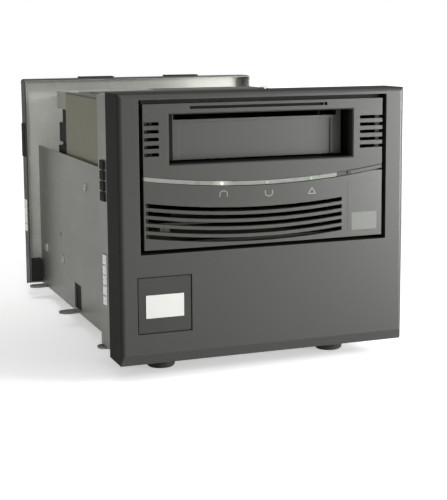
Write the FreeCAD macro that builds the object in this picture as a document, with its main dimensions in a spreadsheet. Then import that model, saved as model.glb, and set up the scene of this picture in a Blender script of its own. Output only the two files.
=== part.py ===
import FreeCAD, Part
import math
import os
import Sketcher

# Cartridge tape drive in its desktop chassis, cover off, in millimetres.
# X runs across the width, the front faces -Y, and the feet stand on Z = 0.

VALUES = {
    # chassis outline
    "upright_width": 11.75,
    "lower_height": 62.4,
    "bezel_depth": 25.0,
    "bezel_wall": 2.6,
    "bezel_face": 3.0,
    "bezel_round": 2.5,
    "return_wall": 1.8,
    "rear_room": 49.6,
    "rear_reach": 6.0,
    "foot_height": 10.0,
    "sheet": 1.2,
    "boss_half": 3.0,
    "boss_inset": 10.0,
    "low_boss_inset": 5.0,
    "root_depth": 0.2,
    "overcut": 5.0,
    # opening for the drive and its gap
    "drive_margin": 2.75,
    "opening_height": 85.5,
    "top_margin": 3.6,
    "drive_gap": 2.4,
    "drive_recess": 0.6,
    "face_thickness": 3.0,
    # lower panel
    "lip_height": 6.0,
    "lip_setback": 2.4,
    "badge_width": 32.0,
    "badge_height": 32.4,
    "badge_left": 9.5,
    "badge_rise": 17.6,
    "badge_recess": 1.4,
    "badge_gap": 0.6,
    "badge_tile_width": 22.3,
    "badge_tile_height": 13.1,
    "badge_tile_rise": 8.9,
    "tile_thickness": 0.3,
    "tile_setback": 0.1,
    "panel_clearance": 0.2,
    "panel_rib": 2.0,
    "panel_rib_depth": 9.0,
    # tape slot and door
    "slot_side_room": 3.3,
    "slot_height_room": 2.0,
    "slot_offset": -2.0,
    "slot_drop": 6.1,
    "slot_round": 0.8,
    "tunnel_wall": 2.4,
    "tunnel_floor": 1.8,
    "tunnel_length": 15.0,
    "door_setback": 10.4,
    "door_thickness": 3.0,
    "door_side_gap": 2.6,
    "door_border": 6.6,
    "door_step": 0.7,
    "door_top_gap": 3.6,
    "door_top_border": 1.6,
    "door_arm": 3.0,
    "door_foot_gap": 1.2,
    "door_swing_room": 1.2,
    "lintel_gap": 0.4,
    "hinge_set_in": 2.0,
    "hinge_rise": 2.0,
    "hinge_radius": 1.8,
    "pin_radius": 1.2,
    "pin_reach": 12.0,
    "run_clearance": 0.06,
    "move_clearance": 0.3,
    # vents and slit of the upper face
    "vent_height": 1.9,
    "vent_pitch": 4.25,
    "vent_drop": 21.4,
    "vent_count": 5,
    "left_vent_margin": 0.6,
    "left_vent_gap": 6.15,
    "right_vent_gap": 4.75,
    "slit_width": 81.5,
    "slit_height": 1.6,
    "slit_drop": 2.4,
    "slit_depth": 1.2,
    "slit_offset": -5.3,
    "pinhole_radius": 0.9,
    "pinhole_gap": 0.5,
    # curved split line, light strip and eject button
    "arc_radius": 480.0,
    "arc_offset": -3.0,
    "arc_drop": 12.5,
    "arc_gap": 2.7,
    "strip_height": 2.3,
    "strip_flange": 1.4,
    "flange_rise": 1.8,
    "strip_end": 44.0,
    "lens_pitch": 27.5,
    "lens_radius": 0.8,
    "lens_rise": 0.3,
    "lens_sides": 12,
    "button_start": 52.6,
    "button_travel": 1.5,
    "button_stem": 2.0,
    "switch_size": 6.0,
    "switch_gap": 0.4,
    "switch_depth": 2.2,
    "plunger_reach": 1.2,
    "plunger_radius": 1.6,
    # grille panel
    "grille_bow": 1.5,
    "grille_slot": 2.4,
    "grille_pitch": 4.3,
    "grille_rise": 2.9,
    "grille_slots": 5,
    "grille_margin": 1.0,
    "grille_end": 46.9,
    # front board
    "board_thickness": 1.6,
    "front_board_gap": 8.0,
    "front_board_drop": 2.0,
    "board_post_inset": 5.0,
    "front_board_width": 104.0,
    "front_board_height": 20.0,
    # drive housing
    "receiver_side_room": 4.2,
    "drive_wall": 3.0,
    "drive_floor": 3.0,
    "mechanism_room": 48.6,
    "tail_side_gap": 4.0,
    "drive_lift": 0.4,
    "drive_top_drop": 0.9,
    "cover_thickness": 1.0,
    "cover_emboss": 0.6,
    "cover_emboss_margin": 14.0,
    "screw_head_radius": 2.8,
    "screw_head_height": 1.2,
    "screw_sides": 6,
    "lid_screw_inset": 10.6,
    # deck and mechanism
    "deck_thickness": 3.0,
    "deck_set_back": 1.0,
    "deck_clearance": 0.5,
    "deck_post_half": 3.5,
    "deck_post_inset": 7.0,
    "cartridge_width": 105.4,
    "cartridge_length": 105.8,
    "cartridge_height": 25.4,
    "cartridge_clearance": 0.5,
    "cartridge_overhang": 17.0,
    "receiver_length": 90.0,
    "receiver_sheet": 1.6,
    "receiver_lip": 5.0,
    "receiver_drop": 4.5,
    "receiver_lug": 4.5,
    "receiver_lug_inset": 12.0,
    "receiver_post_radius": 2.0,
    "post_shoulder": 3.8,
    "post_tip": 1.5,
    "hub_window_half": 23.0,
    "hub_radius": 19.0,
    "hub_height": 5.4,
    "hub_tooth_height": 2.6,
    "hub_tooth_radius": 15.5,
    "hub_tooth_width": 2.4,
    "hub_tooth_length": 4.0,
    "hub_teeth": 15,
    "hub_top_gap": 1.2,
    "shaft_radius": 4.0,
    "shaft_set_in": 0.6,
    "supply_motor_rise": 7.65,
    "supply_motor_radius": 26.0,
    "takeup_motor_radius": 22.0,
    "can_sides": 16,
    "reel_radius": 31.0,
    "reel_hub_radius": 19.0,
    "reel_flange": 1.6,
    "tape_width": 13.4,
    "reel_offset": 30.0,
    "reel_wall_gap": 2.0,
    "reel_front_gap": 6.0,
    "reel_window_gap": 2.0,
    "reel_rim": 2.0,
    "reel_window_width": 9.0,
    "reel_windows": 6,
    "roller_radius": 5.5,
    "roller_flange_radius": 7.0,
    "roller_flange": 1.4,
    "roller_post_radius": 2.0,
    "roller_base_radius": 4.5,
    "roller_post_tip": 0.6,
    "first_roller_side": 10.0,
    "first_roller_back": 9.0,
    "second_roller_side": 8.0,
    "second_roller_back": 27.0,
    "third_roller_side": 49.0,
    "third_roller_back": 31.0,
    "fourth_roller_side": 60.0,
    "fourth_roller_back": 13.0,
    "head_side": 28.0,
    "head_back": 28.0,
    "head_width": 22.0,
    "head_depth": 14.0,
    "head_height": 20.0,
    "head_nose_radius": 9.0,
    "head_nose_set_in": 3.0,
    "head_nose_inset": 2.0,
    "head_travel": 3.0,
    "head_rod_radius": 1.5,
    "head_rod_spread": 14.0,
    "head_rod_tip": 4.0,
    "head_motor_radius": 5.0,
    "lead_screw_radius": 1.2,
    "lead_screw_clearance": 0.6,
    "head_motor_height": 11.0,
    # main board and rear connectors of the drive
    "main_board_lift": 5.0,
    "main_board_side_gap": 2.5,
    "main_board_start": 30.0,
    "main_board_gap": 8.0,
    "chip_height": 2.4,
    "large_chip": 12.0,
    "small_chip": 9.0,
    "standoff_half": 3.0,
    "signal_plug_width": 58.0,
    "signal_plug_height": 13.0,
    "signal_plug_depth": 21.0,
    "signal_plug_lift": 17.0,
    "power_plug_width": 24.0,
    "power_plug_height": 11.0,
    "power_plug_depth": 24.0,
    "power_plug_lift": 3.0,
    "plug_inset": 1.0,
    "plug_wall": 1.6,
    "plug_cavity": 9.0,
    "hood_depth": 26.0,
    "hood_height": 12.0,
    # tray and front frame
    "drive_side_gap": 1.8,
    "wall_height": 103.0,
    "ledge_reach": 8.5,
    "ledge_length": 20.0,
    "drive_hole_rise": 21.84,
    "drive_hole_pitch": 79.24,
    "drive_hole_start": 39.0,
    "drive_hole_radius": 1.6,
    "window_length": 18.0,
    "window_height": 17.0,
    "window_start": 135.0,
    "window_rise": 1.0,
    "ear_reach": 12.7,
    "ear_width": 9.6,
    "ear_hole_radius": 2.2,
    "ear_front": 48.0,
    "ear_middle": 146.0,
    "ear_rear_inset": 17.0,
    "frame_inset": 2.0,
    "frame_flange": 24.0,
    "frame_sill": 12.0,
    # rear panel
    "rear_flange": 11.0,
    "rear_round": 2.0,
    "pad_thickness": 1.2,
    "pad_width": 8.0,
    "top_pad_length": 25.4,
    "top_pad_spread": 66.0,
    "side_pad_length": 24.2,
    "side_pad_rise": 95.5,
    "finger_length": 5.0,
    "finger_pitch": 6.1,
    "finger_width": 8.0,
    "finger_bow": 0.9,
    "finger_sheet": 0.4,
    "front_fingers": 5,
    "rear_fingers": 4,
    "front_finger_rise": 28.0,
    "rear_finger_rise": 40.8,
    "front_pad_rise": 88.6,
    "front_pad_segment": 5.2,
    "pad_segments": 4,
    "front_pad_depth": 9.0,
    "corner_block_width": 9.0,
    "corner_block_height": 16.0,
    "corner_block_depth": 9.0,
    "corner_block_rise": 1.6,
    # fan
    "fan_size": 60.0,
    "fan_depth": 25.0,
    "fan_duct_radius": 28.5,
    "fan_hub_radius": 13.0,
    "fan_blade_radius": 27.2,
    "fan_blade_sheet": 1.2,
    "fan_blade_chord": 14.0,
    "blade_inset": 2.0,
    "blade_lead": 5.6,
    "blade_trail": 4.9,
    "blade_root": 1.0,
    "fan_blades": 7,
    "fan_inset": 47.5,
    "fan_drop": 41.5,
    "fan_hole_inset": 0.5,
    "fan_strut": 3.0,
    "fan_back_plate": 3.0,
    "fan_hole_pitch": 50.0,
    "fan_axle_radius": 1.5,
    "axle_inset": 2.0,
    "rotor_inset": 1.0,
    "guard_strip": 1.8,
    "guard_thickness": 1.6,
    "guard_first_ring": 10.0,
    "guard_ring_step": 7.0,
    "guard_rings": 3,
    # rear fittings
    "inlet_inset": 18.8,
    "inlet_lift": 30.0,
    "inlet_width": 27.0,
    "inlet_height": 19.5,
    "inlet_depth": 18.0,
    "inlet_flange": 2.4,
    "inlet_flange_margin": 2.2,
    "inlet_wall": 1.5,
    "inlet_socket_depth": 15.0,
    "inlet_pin_width": 4.0,
    "inlet_pin_sheet": 2.0,
    "inlet_pin_length": 12.0,
    "inlet_pin_spread": 7.0,
    "rocker_pitch": 30.0,
    "rocker_width": 13.0,
    "rocker_height": 19.0,
    "rocker_frame": 2.2,
    "rocker_depth": 14.0,
    "rocker_tilt": 10.0,
    "rocker_axle_radius": 1.5,
    "rocker_axle_set_in": 0.5,
    "rocker_body": 2.5,
    "rocker_tip": 2.4,
    "rocker_valley": 1.4,
    "port_inset": 32.8,
    "port_lift": 70.0,
    "port_pitch": 22.0,
    "port_width": 42.0,
    "port_height": 9.0,
    "port_flange_width": 58.0,
    "port_flange_height": 13.0,
    "port_flange": 1.6,
    "port_shell": 1.0,
    "port_slant": 1.8,
    "port_body_margin": 1.0,
    "port_body_depth": 10.0,
    "jack_radius": 2.6,
    "jack_reach": 4.0,
    "jack_spread": 50.0,
    # power supply, feet and chassis screws
    "supply_width": 80.0,
    "supply_height": 50.0,
    "supply_rear_gap": 9.0,
    "supply_length": 164.0,
    "supply_vent_width": 26.0,
    "supply_vent_height": 2.6,
    "supply_vent_pitch": 5.6,
    "supply_vent_depth": 1.2,
    "supply_vents": 6,
    "supply_vent_inset": 9.0,
    "supply_vent_rise": 8.0,
    "supply_vent_gap": 8.0,
    "supply_screw_rise": 29.5,
    "supply_screw_inset": 12.0,
    "supply_screw_pitch": 50.0,
    "big_screw_radius": 3.4,
    "wall_hole_radius": 1.8,
    "wall_hole_inset": 66.0,
    "wall_hole_rise": 46.0,
    "foot_radius": 9.0,
    "foot_sides": 20,
    "foot_spread": 109.0,
    "foot_front": 33.0,
    "foot_rear_inset": 20.0,
}

doc = FreeCAD.newDocument("tape_drive")
sheet = doc.addObject("Spreadsheet::Sheet", "Sizes")


class Size:
    """A length that carries its number and the spreadsheet expression that gives it."""

    def __init__(self, text, value):
        self.text = text
        self.value = value

    def join(self, sign, other, value):
        return Size("(" + self.text + " " + sign + " " + other.text + ")", value)

    def __add__(self, other):
        other = as_size(other)
        return self.join("+", other, self.value + other.value)

    def __sub__(self, other):
        other = as_size(other)
        return self.join("-", other, self.value - other.value)

    def __mul__(self, other):
        other = as_size(other)
        return self.join("*", other, self.value * other.value)

    def __truediv__(self, other):
        other = as_size(other)
        return self.join("/", other, self.value / other.value)

    def __radd__(self, other):
        return as_size(other) + self

    def __rsub__(self, other):
        return as_size(other) - self

    def __rmul__(self, other):
        return as_size(other) * self

    def __neg__(self):
        return Size("(-1 * " + self.text + ")", -self.value)


def as_size(number):
    if isinstance(number, Size):
        return number
    return Size("(" + repr(float(number)) + ")", float(number))


def root(size):
    return Size("sqrt(" + size.text + ")", size.value ** 0.5)


class Named:
    """Holds one Size for each named value of the sheet."""


s = Named()
for row, (alias, number) in enumerate(VALUES.items(), start=1):
    sheet.set("A%d" % row, alias)
    sheet.set("B%d" % row, str(number))
    sheet.setAlias("B%d" % row, alias)
    setattr(s, alias, Size("Sizes." + alias, float(number)))
doc.recompute()

nodes = []


def bind(item, prop, size):
    item.setExpression(prop, as_size(size).text)


def put(item, x, y, z):
    for letter, size in zip("xyz", (x, y, z)):
        bind(item, "Placement.Base." + letter, size)


def keep(item, label):
    item.Label = label
    nodes.append(item)
    return item


def block(x0, x1, y0, y1, z0, z1):
    item = doc.addObject("Part::Box", "Block")
    bind(item, "Length", as_size(x1) - x0)
    bind(item, "Width", as_size(y1) - y0)
    bind(item, "Height", as_size(z1) - z0)
    put(item, x0, y0, z0)
    return item


TURNS = {
    "X": FreeCAD.Rotation(FreeCAD.Vector(0, 1, 0), 90),
    "Y": FreeCAD.Rotation(FreeCAD.Vector(1, 0, 0), -90),
    "Z": FreeCAD.Rotation(),
}


def rod(axis, radius, length, x, y, z):
    item = doc.addObject("Part::Cylinder", "Rod")
    item.Placement = FreeCAD.Placement(FreeCAD.Vector(), TURNS[axis])
    bind(item, "Radius", radius)
    bind(item, "Height", length)
    put(item, x, y, z)
    return item


def prism(axis, sides, radius, length, x, y, z):
    item = doc.addObject("Part::Prism", "Prism")
    item.Placement = FreeCAD.Placement(FreeCAD.Vector(), TURNS[axis])
    bind(item, "Polygon", sides)
    bind(item, "Circumradius", radius)
    bind(item, "Height", length)
    put(item, x, y, z)
    return item


def fuse(parts):
    item = doc.addObject("Part::MultiFuse", "Joined")
    item.Shapes = parts
    item.Refine = True
    return item


def cut(base, tools):
    item = doc.addObject("Part::Cut", "Trimmed")
    item.Base = base
    item.Tool = tools[0] if len(tools) == 1 else fuse(tools)
    item.Refine = True
    return item


def group(parts):
    item = doc.addObject("Part::Compound", "Set")
    item.Links = parts
    return item


def new_body(label):
    body = doc.addObject("PartDesign::Body", "Body")
    body.Label = label
    return body


def fix_point(sketch, edge, point, x, y):
    for kind, size in (("DistanceX", x), ("DistanceY", y)):
        rule = sketch.addConstraint(Sketcher.Constraint(kind, -1, 1, edge, point, size.value))
        sketch.setExpression("Constraints[%d]" % rule, size.text)


def add_loop(sketch, loop):
    # a loop is a circle (x, y, radius) or corners (x, y) joined by lines
    # a corner (x, y, radius, side) starts an arc, and side says where its centre lies
    if isinstance(loop, tuple):
        x, y, radius = (as_size(v) for v in loop)
        centre = FreeCAD.Vector(x.value, y.value, 0)
        edge = sketch.addGeometry(Part.Circle(centre, FreeCAD.Vector(0, 0, 1), radius.value), False)
        fix_point(sketch, edge, 3, x, y)
        rule = sketch.addConstraint(Sketcher.Constraint("Radius", edge, radius.value))
        sketch.setExpression("Constraints[%d]" % rule, radius.text)
        return
    corners = [[as_size(v) for v in corner[:3]] + list(corner[3:]) for corner in loop]
    count = len(corners)
    edges = []
    starts = []
    for index, corner in enumerate(corners):
        after = corners[(index + 1) % count]
        a = FreeCAD.Vector(corner[0].value, corner[1].value, 0)
        b = FreeCAD.Vector(after[0].value, after[1].value, 0)
        if len(corner) == 2:
            edges.append(sketch.addGeometry(Part.LineSegment(a, b), False))
            starts.append(True)
            continue
        radius, side = corner[2].value, corner[3]
        half = (b - a).Length / 2
        along = (b - a).normalize()
        across = FreeCAD.Vector(-along.y, along.x, 0) * side
        centre = (a + b) * 0.5 + across * (radius * radius - half * half) ** 0.5
        first, last = (a, b) if side > 0 else (b, a)
        circle = Part.Circle(centre, FreeCAD.Vector(0, 0, 1), radius)
        arc = Part.ArcOfCircle(circle, circle.parameter(first), circle.parameter(last))
        edges.append(sketch.addGeometry(arc, False))
        starts.append(side > 0)
    for index in range(count):
        after = (index + 1) % count
        end = 2 if starts[index] else 1
        begin = 1 if starts[after] else 2
        sketch.addConstraint(Sketcher.Constraint("Coincident", edges[index], end, edges[after], begin))
    for index, corner in enumerate(corners):
        fix_point(sketch, edges[index], 1 if starts[index] else 2, corner[0], corner[1])
        if len(corner) > 2:
            rule = sketch.addConstraint(Sketcher.Constraint("Radius", edges[index], corner[2].value))
            sketch.setExpression("Constraints[%d]" % rule, corner[2].text)


def draw(body, plane, level, loops):
    sketch = body.newObject("Sketcher::SketchObject", "Sketch")
    base = [item for item in body.Origin.OriginFeatures if item.Role == plane + "_Plane"][0]
    sketch.AttachmentSupport = [(base, "")]
    sketch.MapMode = "FlatFace"
    bind(sketch, "AttachmentOffset.Base.z", -as_size(level) if plane == "XZ" else level)
    for loop in loops:
        add_loop(sketch, loop)
    doc.recompute()
    return sketch


def pad(body, plane, start, end, loops):
    # the XZ plane faces -Y, so its sketch lies at the far end
    sketch = draw(body, plane, end if plane == "XZ" else start, loops)
    item = body.newObject("PartDesign::Pad", "Pad")
    item.Profile = sketch
    bind(item, "Length", as_size(end) - start)
    doc.recompute()
    return item


def pocket(body, plane, start, end, loops):
    before = body.Shape.Volume
    sketch = draw(body, plane, start if plane == "XZ" else end, loops)
    item = body.newObject("PartDesign::Pocket", "Pocket")
    item.Profile = sketch
    bind(item, "Length", as_size(end) - start)
    doc.recompute()
    if body.Shape.Volume > before - 1e-6:
        raise RuntimeError("a pocket of " + body.Label + " removes nothing")
    return item


def repeat(body, feature, axis, pitch, count):
    item = body.newObject("PartDesign::LinearPattern", "Pattern")
    item.Originals = [feature]
    item.Direction = (feature.Profile[0], [axis])
    bind(item, "Length", pitch * (count - 1))
    bind(item, "Occurrences", count)
    body.Tip = item
    doc.recompute()
    return item


def spin_repeat(body, feature, axis_role, count):
    item = body.newObject("PartDesign::PolarPattern", "Ring")
    item.Originals = [feature]
    line = [part for part in body.Origin.OriginFeatures if part.Role == axis_role][0]
    item.Axis = (line, [""])
    item.Angle = 360
    bind(item, "Occurrences", count)
    body.Tip = item
    doc.recompute()
    return item


def turned(label, x, y, z, outline):
    # outline is (radius, height) pairs of the half section, turned about the upright axis
    body = new_body(label)
    sketch = draw(body, "XZ", 0, [outline])
    item = body.newObject("PartDesign::Revolution", "Turned")
    item.Profile = sketch
    item.ReferenceAxis = (sketch, ["V_Axis"])
    item.Angle = 360
    put(body, x, y, z)
    doc.recompute()
    return body


def soften(body, kind, size, wanted):
    names = []
    shape = body.Shape
    for number, edge in enumerate(shape.Edges, start=1):
        if wanted(edge.BoundBox):
            names.append("Edge%d" % number)
    if not names:
        raise RuntimeError("no edge of " + body.Label + " was found to soften")
    carrier = body.Tip
    item = body.newObject("PartDesign::" + kind, kind)
    item.Base = (carrier, names)
    bind(item, "Radius" if kind == "Fillet" else "Size", size)
    doc.recompute()
    return item


def near(a, b):
    return abs(a - b.value) < 1e-4


def rect(x0, x1, z0, z1):
    return [(x0, z0), (x1, z0), (x1, z1), (x0, z1)]


# sides of the guard rings and the ear ends, which are drawn with straight edges
RING_SIDES = 24
EAR_SIDES = 12


def polygon(x, y, radius, sides):
    turns = [2 * math.pi * (step + 0.5) / sides for step in range(sides)]
    return [(x + radius * math.cos(turn), y + radius * math.sin(turn)) for turn in turns]


# widths, from the cartridge outwards
guide_half = s.cartridge_width / 2 + s.cartridge_clearance
shell_half = guide_half + s.receiver_sheet
inner_half = shell_half + s.receiver_lug * 2 - s.slot_offset + s.receiver_side_room
drive_half = inner_half + s.drive_wall
open_half = drive_half + s.drive_margin
half_width = open_half + s.upright_width

# depths, from the front face to the back of the rear panel
slot_height = s.cartridge_height + s.slot_height_room
hinge_depth = s.drive_recess + s.door_setback + s.hinge_set_in
door_drop = s.hinge_rise + slot_height - s.door_foot_gap
receiver_depth = hinge_depth + door_drop + s.door_swing_room
reel_depth = receiver_depth + s.receiver_length + s.reel_front_gap + s.reel_radius
tail_depth = reel_depth + s.reel_radius + s.reel_wall_gap + s.drive_wall
chassis_length = tail_depth + s.rear_room

# shared levels and planes
past = s.overcut
front = -(chassis_length + s.rear_reach) / 2
bezel_back = front + s.bezel_depth
bottom = s.foot_height
open_bottom = bottom + s.lower_height
open_top = open_bottom + s.opening_height
top = open_top + s.top_margin
face_half = open_half - s.drive_gap
face_top = open_top - s.drive_gap
face_bottom = open_bottom + s.drive_gap
face_front = front + s.drive_recess
face_back = face_front + s.face_thickness
base_low = face_bottom + s.drive_lift
base_floor = base_low + s.drive_floor
slot_x = s.slot_offset
slot_half = s.cartridge_width / 2 + s.slot_side_room
slot_top = face_top - s.slot_drop
slot_bottom = slot_top - slot_height


def square(x, y, half):
    return rect(x - half, x + half, y - half, y + half)


# upper frame of the front bezel, a portal round the drive
frame = new_body("bezel_frame")
pad(frame, "XZ", front, bezel_back, [[
    (-half_width, open_bottom), (-open_half, open_bottom), (-open_half, open_top), (open_half, open_top),
    (open_half, open_bottom), (half_width, open_bottom), (half_width, top), (-half_width, top)]])
soften(frame, "Fillet", s.bezel_round, lambda box: near(box.YMax, front) and (
    (near(box.ZMin, top)) or (near(box.XMax, -half_width) or near(box.XMin, half_width))))
hollow_inner = open_half + s.return_wall
hollow_outer = half_width - s.bezel_wall
hollow_low = open_bottom + s.bezel_wall
hollow_high = open_top
pocket(frame, "XZ", front + s.bezel_face, bezel_back + past, [
    rect(-hollow_outer, -hollow_inner, hollow_low, hollow_high),
    rect(hollow_inner, hollow_outer, hollow_low, hollow_high)])
boss_x = (hollow_inner + hollow_outer) / 2
boss_heights = [hollow_low + s.boss_inset, hollow_high - s.boss_inset]
boss_spots = [(side * boss_x, height) for side in (-1, 1) for height in boss_heights]
pad(frame, "XZ", front + s.bezel_face - s.root_depth, bezel_back, [
    square(x, z, s.boss_half) for x, z in boss_spots])
keep(frame, "bezel_frame")

# lower panel, its front face turned back along the bottom edge
panel = new_body("lower_panel")
pad(panel, "YZ", -half_width, half_width, [[
    (front + s.lip_setback, bottom), (bezel_back, bottom), (bezel_back, open_bottom),
    (front, open_bottom), (front, bottom + s.lip_height)]])
soften(panel, "Fillet", s.bezel_round, lambda box: near(box.YMin, front) and near(box.YMax, front) and (
    near(box.XMax, -half_width) or near(box.XMin, half_width)))
panel_inner = half_width - s.bezel_wall
panel_skin = front + s.bezel_face
pocket(panel, "XZ", panel_skin, bezel_back + past, [
    rect(-panel_inner, panel_inner, bottom + s.bezel_wall, open_bottom - s.bezel_wall)])
rib_spots = [-half_width / 2, as_size(0), half_width / 2]
rib_half = s.panel_rib / 2
rib_low = bottom + s.bezel_wall / 2
rib_high = open_bottom - s.bezel_wall / 2
pad(panel, "XZ", panel_skin - s.root_depth, panel_skin + s.panel_rib_depth, [
    rect(x - rib_half, x + rib_half, rib_low, rib_high) for x in rib_spots])
low_heights = [bottom + s.bezel_wall + s.low_boss_inset, open_bottom - s.bezel_wall - s.low_boss_inset]
low_bosses = [(side * boss_x, height) for side in (-1, 1) for height in low_heights]
pad(panel, "XZ", panel_skin - s.root_depth, bezel_back, [square(x, z, s.boss_half) for x, z in low_bosses])
badge_x0 = -half_width + s.badge_left
badge_x1 = badge_x0 + s.badge_width
badge_z0 = bottom + s.badge_rise
badge_z1 = badge_z0 + s.badge_height
pocket(panel, "XZ", front - past, front + s.badge_recess, [rect(badge_x0, badge_x1, badge_z0, badge_z1)])
keep(panel, "lower_panel")

# square badge plate, bare, with its raised tile
badge = new_body("badge_plate")
plate_front = front + s.tile_thickness + s.tile_setback
pad(badge, "XZ", plate_front, front + s.badge_recess, [rect(
    badge_x0 + s.badge_gap, badge_x1 - s.badge_gap, badge_z0 + s.badge_gap, badge_z1 - s.badge_gap)])
tile_x = (badge_x0 + badge_x1) / 2
tile_half = s.badge_tile_width / 2
tile_z0 = badge_z0 + s.badge_tile_rise
pad(badge, "XZ", plate_front - s.tile_thickness, plate_front, [
    rect(tile_x - tile_half, tile_x + tile_half, tile_z0, tile_z0 + s.badge_tile_height)])
keep(badge, "badge_plate")

# the split line of the drive's face is an arc that sags in the middle
arc_x = s.arc_offset
arc_low = slot_bottom - s.arc_drop
arc_centre = arc_low + s.arc_radius


def arc_height(x, radius, drop=0):
    reach = as_size(x) - arc_x
    return arc_centre - drop - root(radius * radius - reach * reach)


def arc_band(x0, x1, radius_low, radius_high, drop=0):
    return [(x0, arc_height(x0, radius_low, drop), radius_low, 1),
            (x1, arc_height(x1, radius_low, drop)),
            (x1, arc_height(x1, radius_high, drop), radius_high, -1),
            (x0, arc_height(x0, radius_high, drop))]


upper_arc = s.arc_radius - s.arc_gap / 2
lower_arc = s.arc_radius + s.arc_gap / 2

# upper face of the drive with the tape slot and its tunnel
hinge_y = front + hinge_depth
hinge_z = slot_top + s.hinge_rise
tunnel_back = face_back + s.tunnel_length
tunnel_half = slot_half + s.tunnel_wall
tunnel_low = slot_bottom - s.tunnel_floor
tunnel_high = hinge_z + s.hinge_radius
face = new_body("drive_bezel")
pad(face, "XZ", face_front, face_back, [[
    (-face_half, arc_height(-face_half, upper_arc), upper_arc, 1),
    (face_half, arc_height(face_half, upper_arc)), (face_half, face_top), (-face_half, face_top)]])
pad(face, "XZ", face_back, tunnel_back, [
    rect(slot_x - tunnel_half, slot_x + tunnel_half, tunnel_low, tunnel_high)])
pocket(face, "XZ", face_front - past, tunnel_back + past, [
    rect(slot_x - slot_half, slot_x + slot_half, slot_bottom, slot_top)])
soften(face, "Chamfer", s.slot_round, lambda box: near(box.YMax, face_front) and (
    (near(box.XMax, slot_x - slot_half) or near(box.XMin, slot_x + slot_half))
    or ((near(box.ZMin, slot_top) and near(box.ZMax, slot_top))
        or (near(box.ZMin, slot_bottom) and near(box.ZMax, slot_bottom)))))
lintel_back = hinge_y - s.hinge_radius - s.move_clearance - s.lintel_gap
pocket(face, "XZ", lintel_back, tunnel_back + past, [
    rect(slot_x - slot_half, slot_x + slot_half, slot_top - s.hinge_rise, tunnel_high + past)])
pocket(face, "YZ", slot_x - tunnel_half - past, slot_x + tunnel_half + past, [
    (hinge_y, hinge_z, s.pin_radius)])
vent_span = s.vent_pitch * (s.vent_count - 1)
vent_z = face_top - s.vent_drop - vent_span / 2 + s.vent_pitch / 2
vent_low = vent_z - s.vent_height / 2
vent_high = vent_z + s.vent_height / 2
left_cut = pocket(face, "XZ", face_front - past, face_back + past, [
    rect(-face_half + s.left_vent_margin, slot_x - slot_half - s.left_vent_gap, vent_low, vent_high)])
repeat(face, left_cut, "V_Axis", s.vent_pitch, s.vent_count)
right_cut = pocket(face, "XZ", face_front - past, face_back + past, [
    rect(slot_x + slot_half + s.right_vent_gap, face_half + past, vent_low, vent_high)])
repeat(face, right_cut, "V_Axis", s.vent_pitch, s.vent_count)
slit_x = s.slit_offset
slit_z = face_top - s.slit_drop
slit_end = slit_x + s.slit_width / 2
pocket(face, "XZ", face_front - past, face_front + s.slit_depth, [
    rect(slit_x - s.slit_width / 2, slit_end, slit_z - s.slit_height / 2, slit_z + s.slit_height / 2),
    square(slit_end + s.pinhole_gap + s.pinhole_radius, slit_z, s.pinhole_radius)])
keep(face, "drive_bezel")

# bowed lower face of the drive with its curved grille slots
grille = new_body("grille_panel")
bow_radius = (face_half * face_half + s.grille_bow * s.grille_bow) / (s.grille_bow * 2)
grille_top = arc_height(-face_half, lower_arc)
pad(grille, "XY", face_bottom, grille_top, [[
    (-face_half, face_front, bow_radius, 1), (face_half, face_front),
    (face_half, face_back), (-face_half, face_back)]])
pocket(grille, "XZ", face_front - s.grille_bow - past, face_back + past, [[
    (-face_half - past, arc_height(-face_half - past, lower_arc), lower_arc, 1),
    (face_half + past, arc_height(face_half + past, lower_arc)),
    (face_half + past, grille_top + past), (-face_half - past, grille_top + past)]])
slot_drop = arc_low - face_bottom - s.grille_rise
slot_cut = pocket(grille, "XZ", face_front - s.grille_bow - past, face_back + past, [arc_band(
    -face_half + s.grille_margin, s.grille_end, s.arc_radius + s.grille_slot / 2,
    s.arc_radius - s.grille_slot / 2, slot_drop)])
repeat(grille, slot_cut, "V_Axis", s.grille_pitch, s.grille_slots)
board_y = face_back + s.front_board_gap
board_x1 = inner_half - s.deck_clearance
board_x0 = board_x1 - s.front_board_width
board_z1 = tunnel_low - s.front_board_drop
board_z0 = board_z1 - s.front_board_height
pad(grille, "XZ", face_back - s.root_depth, board_y, [
    square(x, board_z0 + s.board_post_inset, s.boss_half)
    for x in (board_x0 + s.board_post_inset, board_x1 - s.board_post_inset)])
keep(grille, "grille_panel")

# pale light strip in the split line, held by a flange behind both faces
strip = new_body("light_strip")
strip_x0 = -face_half + s.panel_clearance
strip_low = s.arc_radius + s.strip_height / 2
strip_high = s.arc_radius - s.strip_height / 2
pad(strip, "XZ", face_front, face_back, [arc_band(strip_x0, s.strip_end, strip_low, strip_high)])
flange_x0 = -inner_half + s.panel_clearance
pad(strip, "XZ", face_back, face_back + s.strip_flange, [
    arc_band(flange_x0, s.strip_end, strip_low + s.flange_rise, strip_high - s.flange_rise)])
keep(strip, "light_strip")
lens_spots = [s.lens_pitch * step for step in (-1, 0, 1)]
keep(group([prism("Y", s.lens_sides, s.lens_radius, s.lens_rise, x, face_front - s.lens_rise,
                  arc_height(x, s.arc_radius)) for x in lens_spots]), "status_lenses")

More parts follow.
